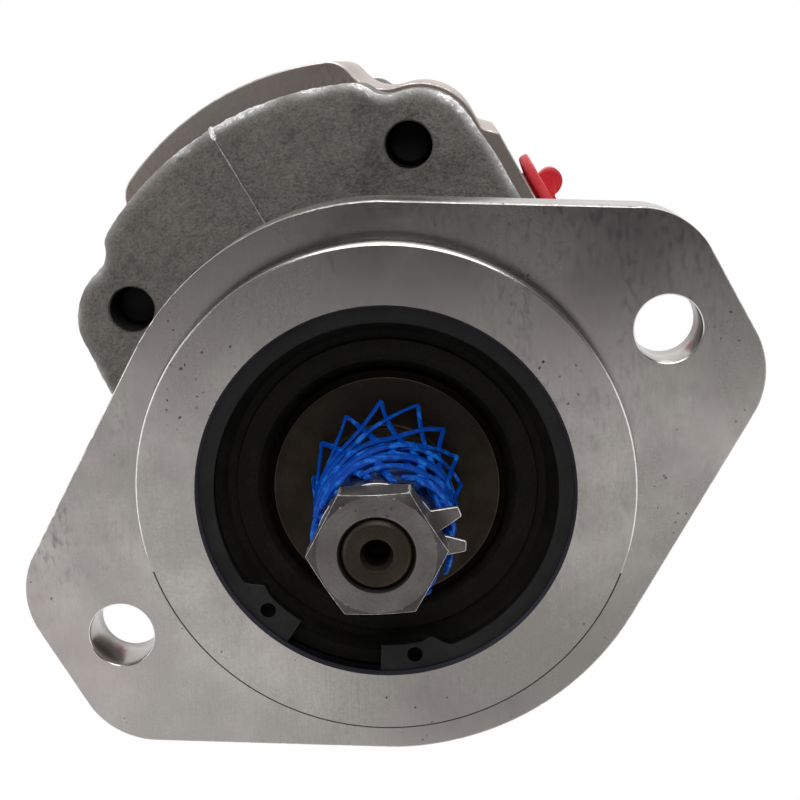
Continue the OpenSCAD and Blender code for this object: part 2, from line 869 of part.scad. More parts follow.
module rear_bushes() {
    color("peru") bushes(gear_end + running + seat, body_end - journal_gap);
}

// Band that lies in a block's seal groove, between two radii
module block_band(y, r_in, r_out) {
    slab(y, y + band_depth - seat)
        intersection() {
            eight_band(r_in, r_out);
            translate([band_cut + seat, -2 * gear_dist]) square([4 * gear_dist, 5 * gear_dist]);
        }
}

module front_block_seal() {
    color("black") block_band(cover_end + running, band_in + seat, band_split - fit);
}

module rear_block_seal() {
    color("black") block_band(body_end - running - band_depth + seat, band_in + seat, band_split - fit);
}

module front_block_backup() {
    color("ivory") block_band(cover_end + running, band_split + fit, band_out - seat);
}

module rear_block_backup() {
    color("ivory") block_band(body_end - running - band_depth + seat, band_split + fit, band_out - seat);
}

// Ring that seals an end face of the gear body
module body_ring(y) {
    color("black")
    slab(y, y + ring_band_depth - seat)
        eight_band(ring_band_in + seat, ring_band_in + ring_band_w - seat);
}

module front_body_seal() {
    body_ring(cover_end);
}

module rear_body_seal() {
    body_ring(body_end - ring_band_depth + seat);
}

module dowel_pins() {
    color("silver")
    for (y = [cover_end, body_end]) at_dowels() rod(dowel_r, y - dowel_len / 2, y + dowel_len / 2);
}

module body_bolts() {
    head_y = rear_end + washer_t;
    color("silver")
    at_bolts() {
        rod(bolt_tip_r, cover_end - thread_depth, cover_end + 2);
        rod(bolt_r, cover_end + 2, head_y + 1);
        intersection() {
            along_y(head_y) cylinder(r = bolt_head_af / sqrt(3), h = bolt_head_h, $fn = 6);
            turned([
                [0, head_y], [bolt_head_af / sqrt(3) + 0.1, head_y],
                [bolt_head_af / sqrt(3) + 0.1, head_y + bolt_head_h - 0.7],
                [bolt_head_af / 2 - 0.2, head_y + bolt_head_h], [0, head_y + bolt_head_h]
            ]);
        }
    }
}

module bolt_washers() {
    color("silver")
    at_bolts() difference() {
        rod(washer_r, rear_end, rear_end + washer_t);
        rod(bolt_clear, rear_end - past, rear_end + washer_t + past);
    }
}

// Plug drawn up the Z axis, with its flange's underside at the origin
module plug_shape() {
    skirt_r = port_d / 2 - seat;
    grip_r = 3.5;
    grip_in = grip_len / 2 - grip_r;
    rotate_extrude() polygon([
        [0, -1.5], [skirt_r - plug_wall, -1.5], [skirt_r - plug_wall - 0.4, -plug_depth],
        [skirt_r - 0.8, -plug_depth], [skirt_r, -plug_depth + 2], [skirt_r, 0],
        [plug_flange_d / 2 - 0.3, 0], [plug_flange_d / 2, 0.3], [plug_flange_d / 2, plug_flange_t - 0.3],
        [plug_flange_d / 2 - 0.3, plug_flange_t], [0, plug_flange_t]
    ]);
    translate([0, 0, plug_flange_t]) rotate([90, 0, 0]) linear_extrude(height = grip_t, center = true) {
        translate([-grip_len / 2, -0.5]) square([grip_len, grip_h - grip_r + 0.5]);
        translate([-grip_in, -0.5]) square([2 * grip_in, grip_h + 0.5]);
        for (s = [-1, 1]) translate([s * grip_in, grip_h - grip_r]) circle(r = grip_r);
    }
}

module port_plug_right() {
    color("red") translate([boss_w / 2, port_y, mid_z]) rotate([0, 90, 0]) plug_shape();
}

module port_plug_left() {
    color("red") translate([-boss_w / 2, port_y, mid_z]) rotate([0, -90, 0]) plug_shape();
}

front_housing();
gear_body();
rear_cover();
drive_shaft();
woodruff_key();
hex_nut();
tab_washer();
mesh_sleeve();
shaft_seal();
internal_circlip();
bearing_outer_ring();
bearing_inner_ring();
bearing_balls();
bearing_cage();
shaft_circlip();
shaft_coupling();
inner_seal();
drive_gear();
driven_gear();
front_bearing_block();
rear_bearing_block();
front_bushes();
rear_bushes();
front_block_seal();
rear_block_seal();
front_block_backup();
rear_block_backup();
front_body_seal();
rear_body_seal();
dowel_pins();
body_bolts();
bolt_washers();
port_plug_right();
port_plug_left();
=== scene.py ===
"""Looks of the flanged gear pump: cast and machined aluminium, dark turned steel, black rubber,
blue net and red plugs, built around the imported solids.

Sizes are in millimetres in the classes and turn into metres when a mesh is made. Y runs along
the shaft into the pump, Z from the drive gear to the driven gear, X along the flange.
"""

import logging
import math
from dataclasses import dataclass, field
from enum import Enum, IntEnum

import bmesh
import bpy
from mathutils import Matrix, Vector, noise
from mathutils.geometry import delaunay_2d_cdt


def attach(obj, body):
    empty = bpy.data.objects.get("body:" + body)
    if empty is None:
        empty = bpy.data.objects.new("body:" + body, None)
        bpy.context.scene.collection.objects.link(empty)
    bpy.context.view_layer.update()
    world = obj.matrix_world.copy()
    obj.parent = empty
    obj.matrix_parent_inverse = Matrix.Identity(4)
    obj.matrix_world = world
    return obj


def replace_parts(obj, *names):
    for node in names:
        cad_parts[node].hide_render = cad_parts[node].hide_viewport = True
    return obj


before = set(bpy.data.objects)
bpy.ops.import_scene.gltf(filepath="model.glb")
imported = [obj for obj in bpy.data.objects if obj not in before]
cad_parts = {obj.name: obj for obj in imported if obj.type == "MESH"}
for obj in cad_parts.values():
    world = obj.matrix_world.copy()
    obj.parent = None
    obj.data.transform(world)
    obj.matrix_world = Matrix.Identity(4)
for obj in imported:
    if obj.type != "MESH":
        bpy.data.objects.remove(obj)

LOG = logging.getLogger("pump")
MM = 0.001
SEED = 7  # fixed, so that the cast faces come out the same in every run
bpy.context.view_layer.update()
Point = tuple[float, float, float]
Flat = tuple[float, float]
Color = tuple[float, float, float]


class Body(Enum):
    """Rigid bodies that the pieces ride on."""

    HOUSING = "housing"
    SHAFT = "shaft"
    PLUG_RIGHT = "plug_right"
    PLUG_LEFT = "plug_left"


class FlangeSlot(IntEnum):
    """Material slots of the flange, its pilot and the neck."""

    MILLED = 0
    CAST = 1
    WALL = 2
    # Bore walls, circlip groove and the pilot edge's lower part: near-black, painted shade.
    SHADE = 3
    # Sloped ring at the bore's mouth: dark bluish grey, painted shade.
    SHADED_RIM = 4


class CoverSlot(IntEnum):
    """Material slots of the lobed cover."""

    CAST = 0
    # Tapped holes: near-black, painted shade inside them.
    TAP = 1


class ShaftSlot(IntEnum):
    """Material slots of the shaft."""

    SHOULDER = 0
    END = 1
    THREAD = 2
    GROUND = 3
    # The shoulder's chamfer and rim: near-black steel, painted shade.
    SHADED_STEEL = 4


class NutSlot(IntEnum):
    """Material slots of the nut and of the bolts."""

    FLATS = 0
    THREAD = 1
    CONES = 2


# ---- flat outlines ----


def polar(r: float, a: float) -> Flat:
    """The point at radius r and at angle a, in degrees."""
    return (r * math.cos(math.radians(a)), r * math.sin(math.radians(a)))


def arc(centre: Flat, r: float, a: float, b: float, step: float = 3.0) -> list[Flat]:
    """Points on an arc, without its last one.

    Args:
        centre: centre of the arc.
        r: radius.
        a: first angle, in degrees.
        b: last angle, in degrees.
        step: largest angle between two points, in degrees.

    Returns:
        The points from a up to, but without, b.
    """
    n = max(2, math.ceil(abs(b - a) / step))
    turns = [math.radians(a + (b - a) * i / n) for i in range(n)]
    return [(centre[0] + r * math.cos(t), centre[1] + r * math.sin(t)) for t in turns]


def circle(centre: Flat, r: float, n: int = 96) -> list[Flat]:
    """A full circle of n points."""
    return arc(centre, r, 0, 360, 360 / n)


def resample(loop: list[Flat], n: int) -> list[Flat]:
    """Spaces a closed outline's points evenly.

    Args:
        loop: corner points of the closed outline.
        n: number of points wanted.

    Returns:
        n points at equal distances along the outline.
    """
    points = [Vector(p) for p in loop]
    lengths = [(points[(i + 1) % len(points)] - p).length for i, p in enumerate(points)]
    step = sum(lengths) / n
    out, at, i = [], 0.0, 0
    for k in range(n):
        want = k * step
        while at + lengths[i] < want:
            at += lengths[i]
            i += 1
        t = (want - at) / lengths[i] if lengths[i] else 0.0
        p = points[i].lerp(points[(i + 1) % len(points)], t)
        out.append((p.x, p.y))
    return out


def inset(loop: list[Flat], d: float) -> list[Flat]:
    """Moves a clockwise outline inwards along its own normals.

    Args:
        loop: the closed outline.
        d: distance to move it.

    Returns:
        The moved outline, with the same number of points.
    """
    out = []
    for i, p in enumerate(loop):
        a, b = Vector(loop[i - 1]), Vector(loop[(i + 1) % len(loop)])
        t = (b - a).normalized()
        out.append((p[0] + d * t.y, p[1] - d * t.x))
    return out


def inside(p: Flat, loop: list[Flat]) -> bool:
    """Tests whether a point lies inside a closed outline.

    Args:
        p: the point.
        loop: the closed outline.

    Returns:
        True if the point lies inside.
    """
    hit = False
    for i, b in enumerate(loop):
        a = loop[i - 1]
        if (a[1] > p[1]) != (b[1] > p[1]):
            if p[0] < a[0] + (p[1] - a[1]) * (b[0] - a[0]) / (b[1] - a[1]):
                hit = not hit
    return hit


@dataclass(frozen=True)
class LobedOutline:
    """Outline of a pump plate: two domes joined by four bolt lobes, about the middle plane."""

    dome_top: float
    dome_r: float
    corner_x: float
    corner_r: float
    lobe: Flat
    lobe_r: float
    valley_r: float
    half_width: float
    boss_width: float = 0.0
    boss_half: float = 0.0

    def quarter(self) -> list[Flat]:
        """One quarter of the outline, from the top round to the side.

        Returns:
            Its points, clockwise, with the middle plane at 0.
        """
        dome = Vector((0, self.dome_top - self.dome_r))
        reach = self.dome_r - self.corner_r
        corner = Vector((self.corner_x, dome.y + math.sqrt(reach**2 - self.corner_x**2)))
        lobe = Vector(self.lobe)
        ra, rb = self.corner_r + self.valley_r, self.lobe_r + self.valley_r
        d = (lobe - corner).length
        u = (lobe - corner) / d
        x = (ra * ra - rb * rb + d * d) / (2 * d)
        valley = corner + x * u + math.sqrt(ra * ra - x * x) * Vector((-u.y, u.x))

        def heading(p: Vector, q: Vector) -> float:
            """Angle of the line from p to q, in degrees."""
            return math.degrees(math.atan2(q.y - p.y, q.x - p.x))

        a1, a2, a3 = heading(dome, corner), heading(corner, valley), heading(lobe, valley)
        points = arc(tuple(dome), self.dome_r, 90, a1)
        points += arc(tuple(corner), self.corner_r, a1, a2, 8)
        points += arc(tuple(valley), self.valley_r, a2 + 180, a3 + 180, 8)
        past_side, under_lobe, clear = -8, 8, 0.4
        points += arc(tuple(lobe), self.lobe_r, a3, past_side, 6)
        points.append((self.half_width, self.lobe[1] - under_lobe))
        if self.boss_width:
            step = self.boss_width - self.half_width
            points = [p for p in points if p[1] > self.boss_half + step / 2 + clear]
            points.append((self.half_width, self.boss_half + step / 2))
            points.append((self.boss_width, self.boss_half - step / 2))
        return points

    def loop(self, middle: float, n: int) -> list[Flat]:
        """The whole outline, clockwise, with its middle plane at Z = middle.

        Args:
            middle: height of the middle plane.
            n: number of points.

        Returns:
            The closed outline.
        """
        q = self.quarter()
        tail = q[1:]
        right = q + [(x, -z) for x, z in reversed(tail)] + [(0.0, -q[0][1])]
        whole = right + [(-x, -z) for x, z in tail] + [(-x, z) for x, z in reversed(tail)]
        return resample([(x, z + middle) for x, z in whole], n)


# ---- meshes ----


@dataclass
class Draft:
    """Points, faces and edge wear of a mesh while it is put together, in millimetres."""

    points: list[Point] = field(default_factory=list)
    wear: list[float] = field(default_factory=list)
    faces: list[tuple[int, ...]] = field(default_factory=list)
    slots: list[int] = field(default_factory=list)
    flat: set[int] = field(default_factory=set)

    def add(self, points: list[Point], wear: float = 0.0) -> list[int]:
        """Adds points.

        Args:
            points: the points.
            wear: edge wear of all of them, from 0 to 1.

        Returns:
            Their numbers.
        """
        first = len(self.points)
        self.points += [tuple(p) for p in points]
        self.wear += [wear] * len(points)
        return list(range(first, len(self.points)))

    def face(self, corners: tuple[int, ...], slot: int = 0) -> None:
        """Adds one face."""
        self.faces.append(tuple(corners))
        self.slots.append(slot)

    def bridge(self, a: list[int], b: list[int], slot: int = 0, closed: bool = True) -> None:
        """Joins two rings of equal length with four-sided faces; a ring of one point is a tip.

        Args:
            a: point numbers of the first ring.
            b: point numbers of the second ring.
            slot: material slot of the faces.
            closed: False if the rings are open lines.
        """
        n = max(len(a), len(b))
        for i in range(n if closed else n - 1):
            j = (i + 1) % n
            if len(a) == 1:
                self.face((a[0], b[j], b[i]), slot)
            elif len(b) == 1:
                self.face((a[i], a[j], b[0]), slot)
            else:
                self.face((a[i], a[j], b[j], b[i]), slot)

    def loft(self, rings: list[list[int]], ends: bool = False) -> None:
        """Joins each ring to the next.

        Args:
            rings: point numbers of the rings, in order.
            ends: True to close the first and the last ring with a face.
        """
        for a, b in zip(rings, rings[1:]):
            self.bridge(a, b)
        if ends:
            self.face(tuple(rings[0]))
            self.face(tuple(rings[-1]))

    def level(self, loop: list[Flat], y: float, wear: float = 0.0) -> list[int]:
        """Adds a flat outline of X and Z at height y."""
        return self.add([(x, y, z) for x, z in loop], wear)

    def plate(
        self, loop: list[Flat], span: Flat, edge: float, wear: float
    ) -> tuple[list[int], list[int]]:
        """Adds the side wall of a thin plate whose edges are broken.

        Args:
            loop: outline of the plate.
            span: Y heights of its front and back.
            edge: size of the broken edges.
            wear: edge wear of the front edge.

        Returns:
            The rims of the front and the back face.
        """
        y0, y1 = span
        rings = [
            self.level(inset(loop, edge), y0),
            self.level(inset(loop, edge / 3), y0 + edge / 3, wear),
            self.level(loop, y0 + edge),
            self.level(loop, y1 - edge),
            self.level(inset(loop, edge), y1),
        ]
        self.loft(rings)
        return rings[0], rings[-1]

    def turn(
        self,
        profile: list[tuple],
        n: int = 128,
        centre: Flat = (0.0, 0.0),
        slot: int = 0,
        ends: tuple[list[int] | None, list[int] | None] = (None, None),
        closed: bool = False,
    ) -> None:
        """Turns a profile round an axis along Y.

        Args:
            profile: (radius, y) or (radius, y, wear) or (radius, y, wear, slot) points.
            n: points round the axis.
            centre: X and Z of the axis.
            slot: material slot of faces whose point names none.
            ends: rings that already exist, for the first and last profile point.
            closed: True if the last point joins the first.
        """
        rings = []
        for i, (r, y, *rest) in enumerate(profile):
            given = ends[0] if i == 0 else ends[1] if i == len(profile) - 1 else None
            worn = rest[0] if rest else 0.0
            if given is not None:
                rings.append(given)
            elif r < 1e-6:
                rings.append(self.add([(centre[0], y, centre[1])], worn))
            else:
                rings.append(self.level(circle(centre, r, n), y, worn))
        pairs = list(zip(rings, rings[1:])) + ([(rings[-1], rings[0])] if closed else [])
        for i, (a, b) in enumerate(pairs):
            rest = profile[i][2:]
            first = len(self.faces)
            self.bridge(a, b, rest[1] if len(rest) > 1 else slot)
            if profile[i][1] == profile[(i + 1) % len(profile)][1]:
                self.flat.update(range(first, len(self.faces)))

    def cap(
        self,
        outer: list[int],
        holes: list[list[int]],
        y: float,
        slot: int = 0,
        spacing: float = 0.0,
    ) -> None:
        """Fills a flat region at height y between an outline and its holes.

        Args:
            outer: point numbers of the outline.
            holes: point numbers of each hole's rim.
            y: height of the region.
            slot: material slot.
            spacing: distance between inner points, or 0 for none.
        """
        loops = [outer, *holes]
        flat = [[(self.points[i][0], self.points[i][2]) for i in loop] for loop in loops]
        numbers = [i for loop in loops for i in loop]
        coords = [Vector(p) for loop in flat for p in loop]
        edges, at = [], 0
        for loop in loops:
            edges += [(at + i, at + (i + 1) % len(loop)) for i in range(len(loop))]
            at += len(loop)
        if spacing:
            rim = [Vector(p) for loop in flat for p in loop]
            xs, zs = [p[0] for p in flat[0]], [p[1] for p in flat[0]]
            rows = int((max(zs) - min(zs)) / spacing) + 1
            columns = int((max(xs) - min(xs)) / spacing) + 1
            for row in range(rows):
                for column in range(columns):
                    p = (
                        min(xs) + spacing * (column + 0.5 * (row % 2)),
                        min(zs) + spacing * (row + 0.5),
                    )
                    if not inside(p, flat[0]) or any(inside(p, h) for h in flat[1:]):
                        continue
                    if min((Vector(p) - q).length_squared for q in rim) < (0.6 * spacing) ** 2:
                        continue
                    coords.append(Vector(p))
        made = delaunay_2d_cdt(coords, edges, [], 0, 1e-6)
        verts, faces, origins = made[0], made[2], made[3]
        index = []
        for p, source in zip(verts, origins):
            known = [i for i in source if i < len(numbers)]
            index.append(numbers[known[0]] if known else self.add([(p.x, y, p.y)])[0])
        for f in faces:
            middle = sum((verts[i] for i in f), Vector((0, 0))) / len(f)
            if inside(middle, flat[0]) and not any(inside(middle, h) for h in flat[1:]):
                if not spacing:
                    self.flat.add(len(self.faces))
                self.face(tuple(index[i] for i in f), slot)

    def roughen(self, amount: float, worn: float, size: float, keep: tuple[float, float]) -> None:
        """Gives cast faces their waviness and bruised edges.

        Args:
            amount: height of the waviness on plain faces.
            worn: depth of the bruises on worn edges.
            size: distance between bruises.
            keep: Y heights of the flat faces that stay as they are.
        """
        beside, broad, fine = 0.45, size * 6, size * 0.45
        for i, p in enumerate(self.points):
            if any(abs(p[1] - y) < beside for y in keep):
                continue
            v = Vector(p)
            wave = noise.noise_vector(v / broad) * amount
            small = noise.noise_vector(v / size) + 0.5 * noise.noise_vector(v / fine)
            move = wave + small * (amount * 0.35 + worn * self.wear[i])
            self.points[i] = tuple(v + move)

    def build(
        self, name: str, body: Body, finishes: list["Finish"], smooth: float = 35
    ) -> bpy.types.Object:
        """Makes the Blender object, in metres, and lets it ride on its body.

        Args:
            name: name of the piece.
            body: body that it moves with.
            finishes: finish of each material slot.
            smooth: angle under which two faces shade as one, in degrees.

        Returns:
            The new object.
        """
        mesh = bpy.data.meshes.new(name)
        mesh.from_pydata([Vector(p) * MM for p in self.points], [], self.faces)
        worn = mesh.attributes.new("wear", "FLOAT", "POINT")
        worn.data.foreach_set("value", self.wear)
        mesh.polygons.foreach_set("material_index", self.slots)
        level = mesh.attributes.new("level", "INT", "FACE")
        level.data.foreach_set("value", [int(i in self.flat) for i in range(len(self.faces))])
        whole = bmesh.new()
        whole.from_mesh(mesh)
        bmesh.ops.remove_doubles(whole, verts=whole.verts, dist=1e-7)
        loose = [v for v in whole.verts if not v.link_faces]
        bmesh.ops.delete(whole, geom=loose, context="VERTS")
        bmesh.ops.recalc_face_normals(whole, faces=whole.faces)
        whole.to_mesh(mesh)
        whole.free()
        mesh.shade_smooth()
        mesh.set_sharp_from_angle(angle=math.radians(smooth))
        sharpen_levels(mesh)
        piece = bpy.data.objects.new(name, mesh)
        bpy.context.scene.collection.objects.link(piece)
        for finish in finishes:
            mesh.materials.append(finish.material())
        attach(piece, body.value)
        LOG.info("%s: %d points, %d faces", name, len(mesh.vertices), len(mesh.polygons))
        return piece


def hexagon(
    d: Draft, centre: Flat, flat_r: float, turn: float, span: Flat, cut: tuple[bool, bool], slot: int = 0
) -> list[list[int]]:
    """Side faces of a nut or bolt head whose corners are cut by cones.

    Args:
        d: mesh under construction.
        centre: X and Z of the axis.
        flat_r: half the width across the flats.
        turn: angle from X to the middle of a flat, in degrees.
        span: Y heights of both ends.
        cut: True for each end that has a cone.
        slot: material slot of the cones.

    Returns:
        The rings, from the first end to the second.
    """
    n, face_r, slope, line = 96, flat_r - 0.2, 0.48, 0.12
    columns = []
    for i in range(n):
        side = (360 * i / n + 30) % 60 - 30
        r, worn = flat_r / math.cos(math.radians(side)), 0.8 if abs(side) > 28 else 0.0
        drop = slope * (r - face_r)
        column = []
        for y, way, cone in ((span[0], 1, cut[0]), (span[1], -1, cut[1])):
            end = [(face_r, y, 0.3), (r - 0.1, y + way * (drop - 0.06), 0.0)] if cone else []
            below = drop if cone else 0
            end += [(r, y + way * below, 0.9), (r, y + way * (below + line), worn)]
            column += end[::way]
        a = math.radians(360 * i / n + turn)
        c, s = math.cos(a), math.sin(a)
        columns.append([(centre[0] + r * c, y, centre[1] + r * s, w) for r, y, w in column])
    rings = []
    for ring in zip(*columns):
        numbers = d.add([point[:3] for point in ring])
        for number, point in zip(numbers, ring):
            d.wear[number] = point[3]
        rings.append(numbers)
    for k, (a, b) in enumerate(zip(rings, rings[1:])):
        cone = (cut[0] and k < 2) or (cut[1] and k > len(rings) - 4)
        d.bridge(a, b, slot if cone else 0)
    return rings


def sharpen_levels(mesh: bpy.types.Mesh) -> None:
    """Marks the rims of flat faces as sharp, so that they shade flat right up to the edge.

    Args:
        mesh: mesh whose faces have the level attribute.
    """
    whole = bmesh.new()
    whole.from_mesh(mesh)
    layer = whole.faces.layers.int["level"]
    for edge in whole.edges:
        if len({f[layer] for f in edge.link_faces}) > 1:
            edge.smooth = False
    whole.to_mesh(mesh)
    whole.free()


def carve(piece: bpy.types.Object, cutters: list[bpy.types.Object]) -> None:
    """Cuts the cutters' volumes out of a piece and removes the cutters.

    Args:
        piece: the piece to cut.
        cutters: closed objects.
    """
    for cutter in cutters:
        step = piece.modifiers.new("carve", "BOOLEAN")
        step.operation, step.object, step.solver = "DIFFERENCE", cutter, "EXACT"
    bpy.context.view_layer.update()
    graph = bpy.context.evaluated_depsgraph_get()
    made = bpy.data.meshes.new_from_object(piece.evaluated_get(graph))
    piece.modifiers.clear()
    piece.data = made
    for cutter in cutters:
        bpy.data.objects.remove(cutter)


def rod_cutter(r: float, start: Point, end: Point, r_end: float) -> bpy.types.Object:
    """A cylinder or cone between two points, for carve.

    Args:
        r: radius at the first end.
        start: middle of the first end.
        end: middle of the second end.
        r_end: radius at the second end.

    Returns:
        The new object.
    """
    a, b = Vector(start) * MM, Vector(end) * MM
    shape = bmesh.new()
    turn = (b - a).to_track_quat("Z", "Y").to_matrix().to_4x4()
    bmesh.ops.create_cone(
        shape,
        cap_ends=True,
        segments=96,
        radius1=r * MM,
        radius2=r_end * MM,
        depth=(b - a).length,
        matrix=Matrix.Translation((a + b) / 2) @ turn,
    )
    mesh = bpy.data.meshes.new("cutter")
    shape.to_mesh(mesh)
    shape.free()
    cutter = bpy.data.objects.new("cutter", mesh)
    bpy.context.scene.collection.objects.link(cutter)
    return cutter


# ---- shader groups ----


class Group:
    """A shader node group under construction, with named inputs and outputs."""

    def __init__(self, name: str, inputs: dict[str, float], outputs: list[str]) -> None:
        """Makes the group and its sockets.

        Args:
            name: name of the group.
            inputs: default value by name.
            outputs: names of the values and masks that it puts out.
        """
        self.tree = bpy.data.node_groups.new(name, "ShaderNodeTree")
        kind = "NodeSocketFloat"
        for key, value in inputs.items():
            socket = self.tree.interface.new_socket(key, in_out="INPUT", socket_type=kind)
            socket.default_value = value
        for key in outputs:
            self.tree.interface.new_socket(key, in_out="OUTPUT", socket_type=kind)
        self.start = self.tree.nodes.new("NodeGroupInput")
        self.end = self.tree.nodes.new("NodeGroupOutput")
        self.nodes = Nodes(self.tree)

    def give(self, name: str, socket: bpy.types.NodeSocket) -> None:
        """Connects a socket to one of the group's outputs."""
        self.tree.links.new(socket, self.end.inputs[name])


class Nodes:
    """Short ways to add connected nodes to a tree."""

    def __init__(self, tree: bpy.types.NodeTree) -> None:
        """Keeps the tree that nodes are added to."""
        self.tree = tree

    def put(self, node: bpy.types.Node, key: str | int, value: object) -> None:
        """Connects or sets one input.

        Args:
            node: the node.
            key: name or number of its input.
            value: a socket to connect, or a plain value; None leaves the input alone.
        """
        if value is None:
            return
        if isinstance(value, bpy.types.NodeSocket):
            self.tree.links.new(value, node.inputs[key])
        else:
            node.inputs[key].default_value = value

    def add(self, kind: str, values: dict | None = None, **settings: object) -> bpy.types.Node:
        """Adds a node.

        Args:
            kind: Blender's type name of the node.
            values: socket or value by input.
            settings: properties of the node.

        Returns:
            The node.
        """
        node = self.tree.nodes.new(kind)
        for key, value in settings.items():
            setattr(node, key, value)
        for key, value in (values or {}).items():
            self.put(node, key, value)
        return node

    def place(self) -> bpy.types.NodeSocket:
        """The surface point in the object's own frame, in metres."""
        return self.add("ShaderNodeTexCoord").outputs["Object"]

    def math(self, operation: str, a: object, b: object = None) -> bpy.types.NodeSocket:
        """A math node of one or two inputs."""
        return self.add("ShaderNodeMath", {0: a, 1: b}, operation=operation).outputs[0]

    def times(self, a: object, b: object) -> bpy.types.NodeSocket:
        """The product of two values."""
        return self.math("MULTIPLY", a, b)

    def noise(
        self, where: object, scale: object, detail: float = 4, rough: float = 0.55
    ) -> bpy.types.NodeSocket:
        """Noise of about 0 to 1 at a scale per metre."""
        values = {"Vector": where, "Scale": scale, "Detail": detail, "Roughness": rough}
        return self.add("ShaderNodeTexNoise", values).outputs[0]

    def band(self, value: object, low: object, high: object) -> bpy.types.NodeSocket:
        """A smooth step.

        Args:
            value: the value that is compared.
            low: where the step starts, at 0.
            high: where the step ends, at 1.

        Returns:
            The mask.
        """
        node = self.add("ShaderNodeMapRange", interpolation_type="SMOOTHSTEP")
        self.put(node, 0, value)
        self.put(node, 1, low)
        self.put(node, 2, high)
        return node.outputs[0]

    def blend(self, factor: object, a: object, b: object) -> bpy.types.NodeSocket:
        """Mixes two colours.

        Args:
            factor: 0 for the first colour and 1 for the second.
            a: first colour or socket.
            b: second colour or socket.

        Returns:
            The mixed colour.
        """
        node = self.add("ShaderNodeMix", data_type="RGBA", blend_type="MIX")
        self.put(node, 0, factor)
        self.put(node, 6, (*a, 1) if isinstance(a, tuple) else a)
        self.put(node, 7, (*b, 1) if isinstance(b, tuple) else b)
        return node.outputs[2]

    def value(self, factor: object, a: object, b: object) -> bpy.types.NodeSocket:
        """Mixes two numbers.

        Args:
            factor: 0 for the first number and 1 for the second.
            a: first number or socket.
            b: second number or socket.

        Returns:
            The mixed number.
        """
        node = self.add("ShaderNodeMix", data_type="FLOAT")
        self.put(node, 0, factor)
        self.put(node, 2, a)
        self.put(node, 3, b)
        return node.outputs[0]

    def drawn_out(self, where: object, stretch: float, turn: float) -> bpy.types.NodeSocket:
        """Coordinates in which a pattern is drawn out into lines.

        Args:
            where: coordinates to start from.
            stretch: scale along the lines; the smaller, the longer they are.
            turn: angle of the lines about Y, in degrees.

        Returns:
            The new coordinates.
        """
        turned = self.add("ShaderNodeVectorRotate", {"Vector": where}, rotation_type="EULER_XYZ")
        turned.inputs["Rotation"].default_value = (0, math.radians(turn), 0)
        values = {0: turned.outputs[0], 1: (1, 1, stretch)}
        return self.add("ShaderNodeVectorMath", values, operation="MULTIPLY").outputs[0]

    def group(self, tree: bpy.types.NodeTree, values: dict | None = None) -> bpy.types.Node:
        """Places a node group.

        Args:
            tree: the group.
            values: socket or value by input.

        Returns:
            The node that stands for it.
        """
        node = self.add("ShaderNodeGroup")
        node.node_tree = tree
        for key, value in (values or {}).items():
            self.put(node, key, value)
        return node


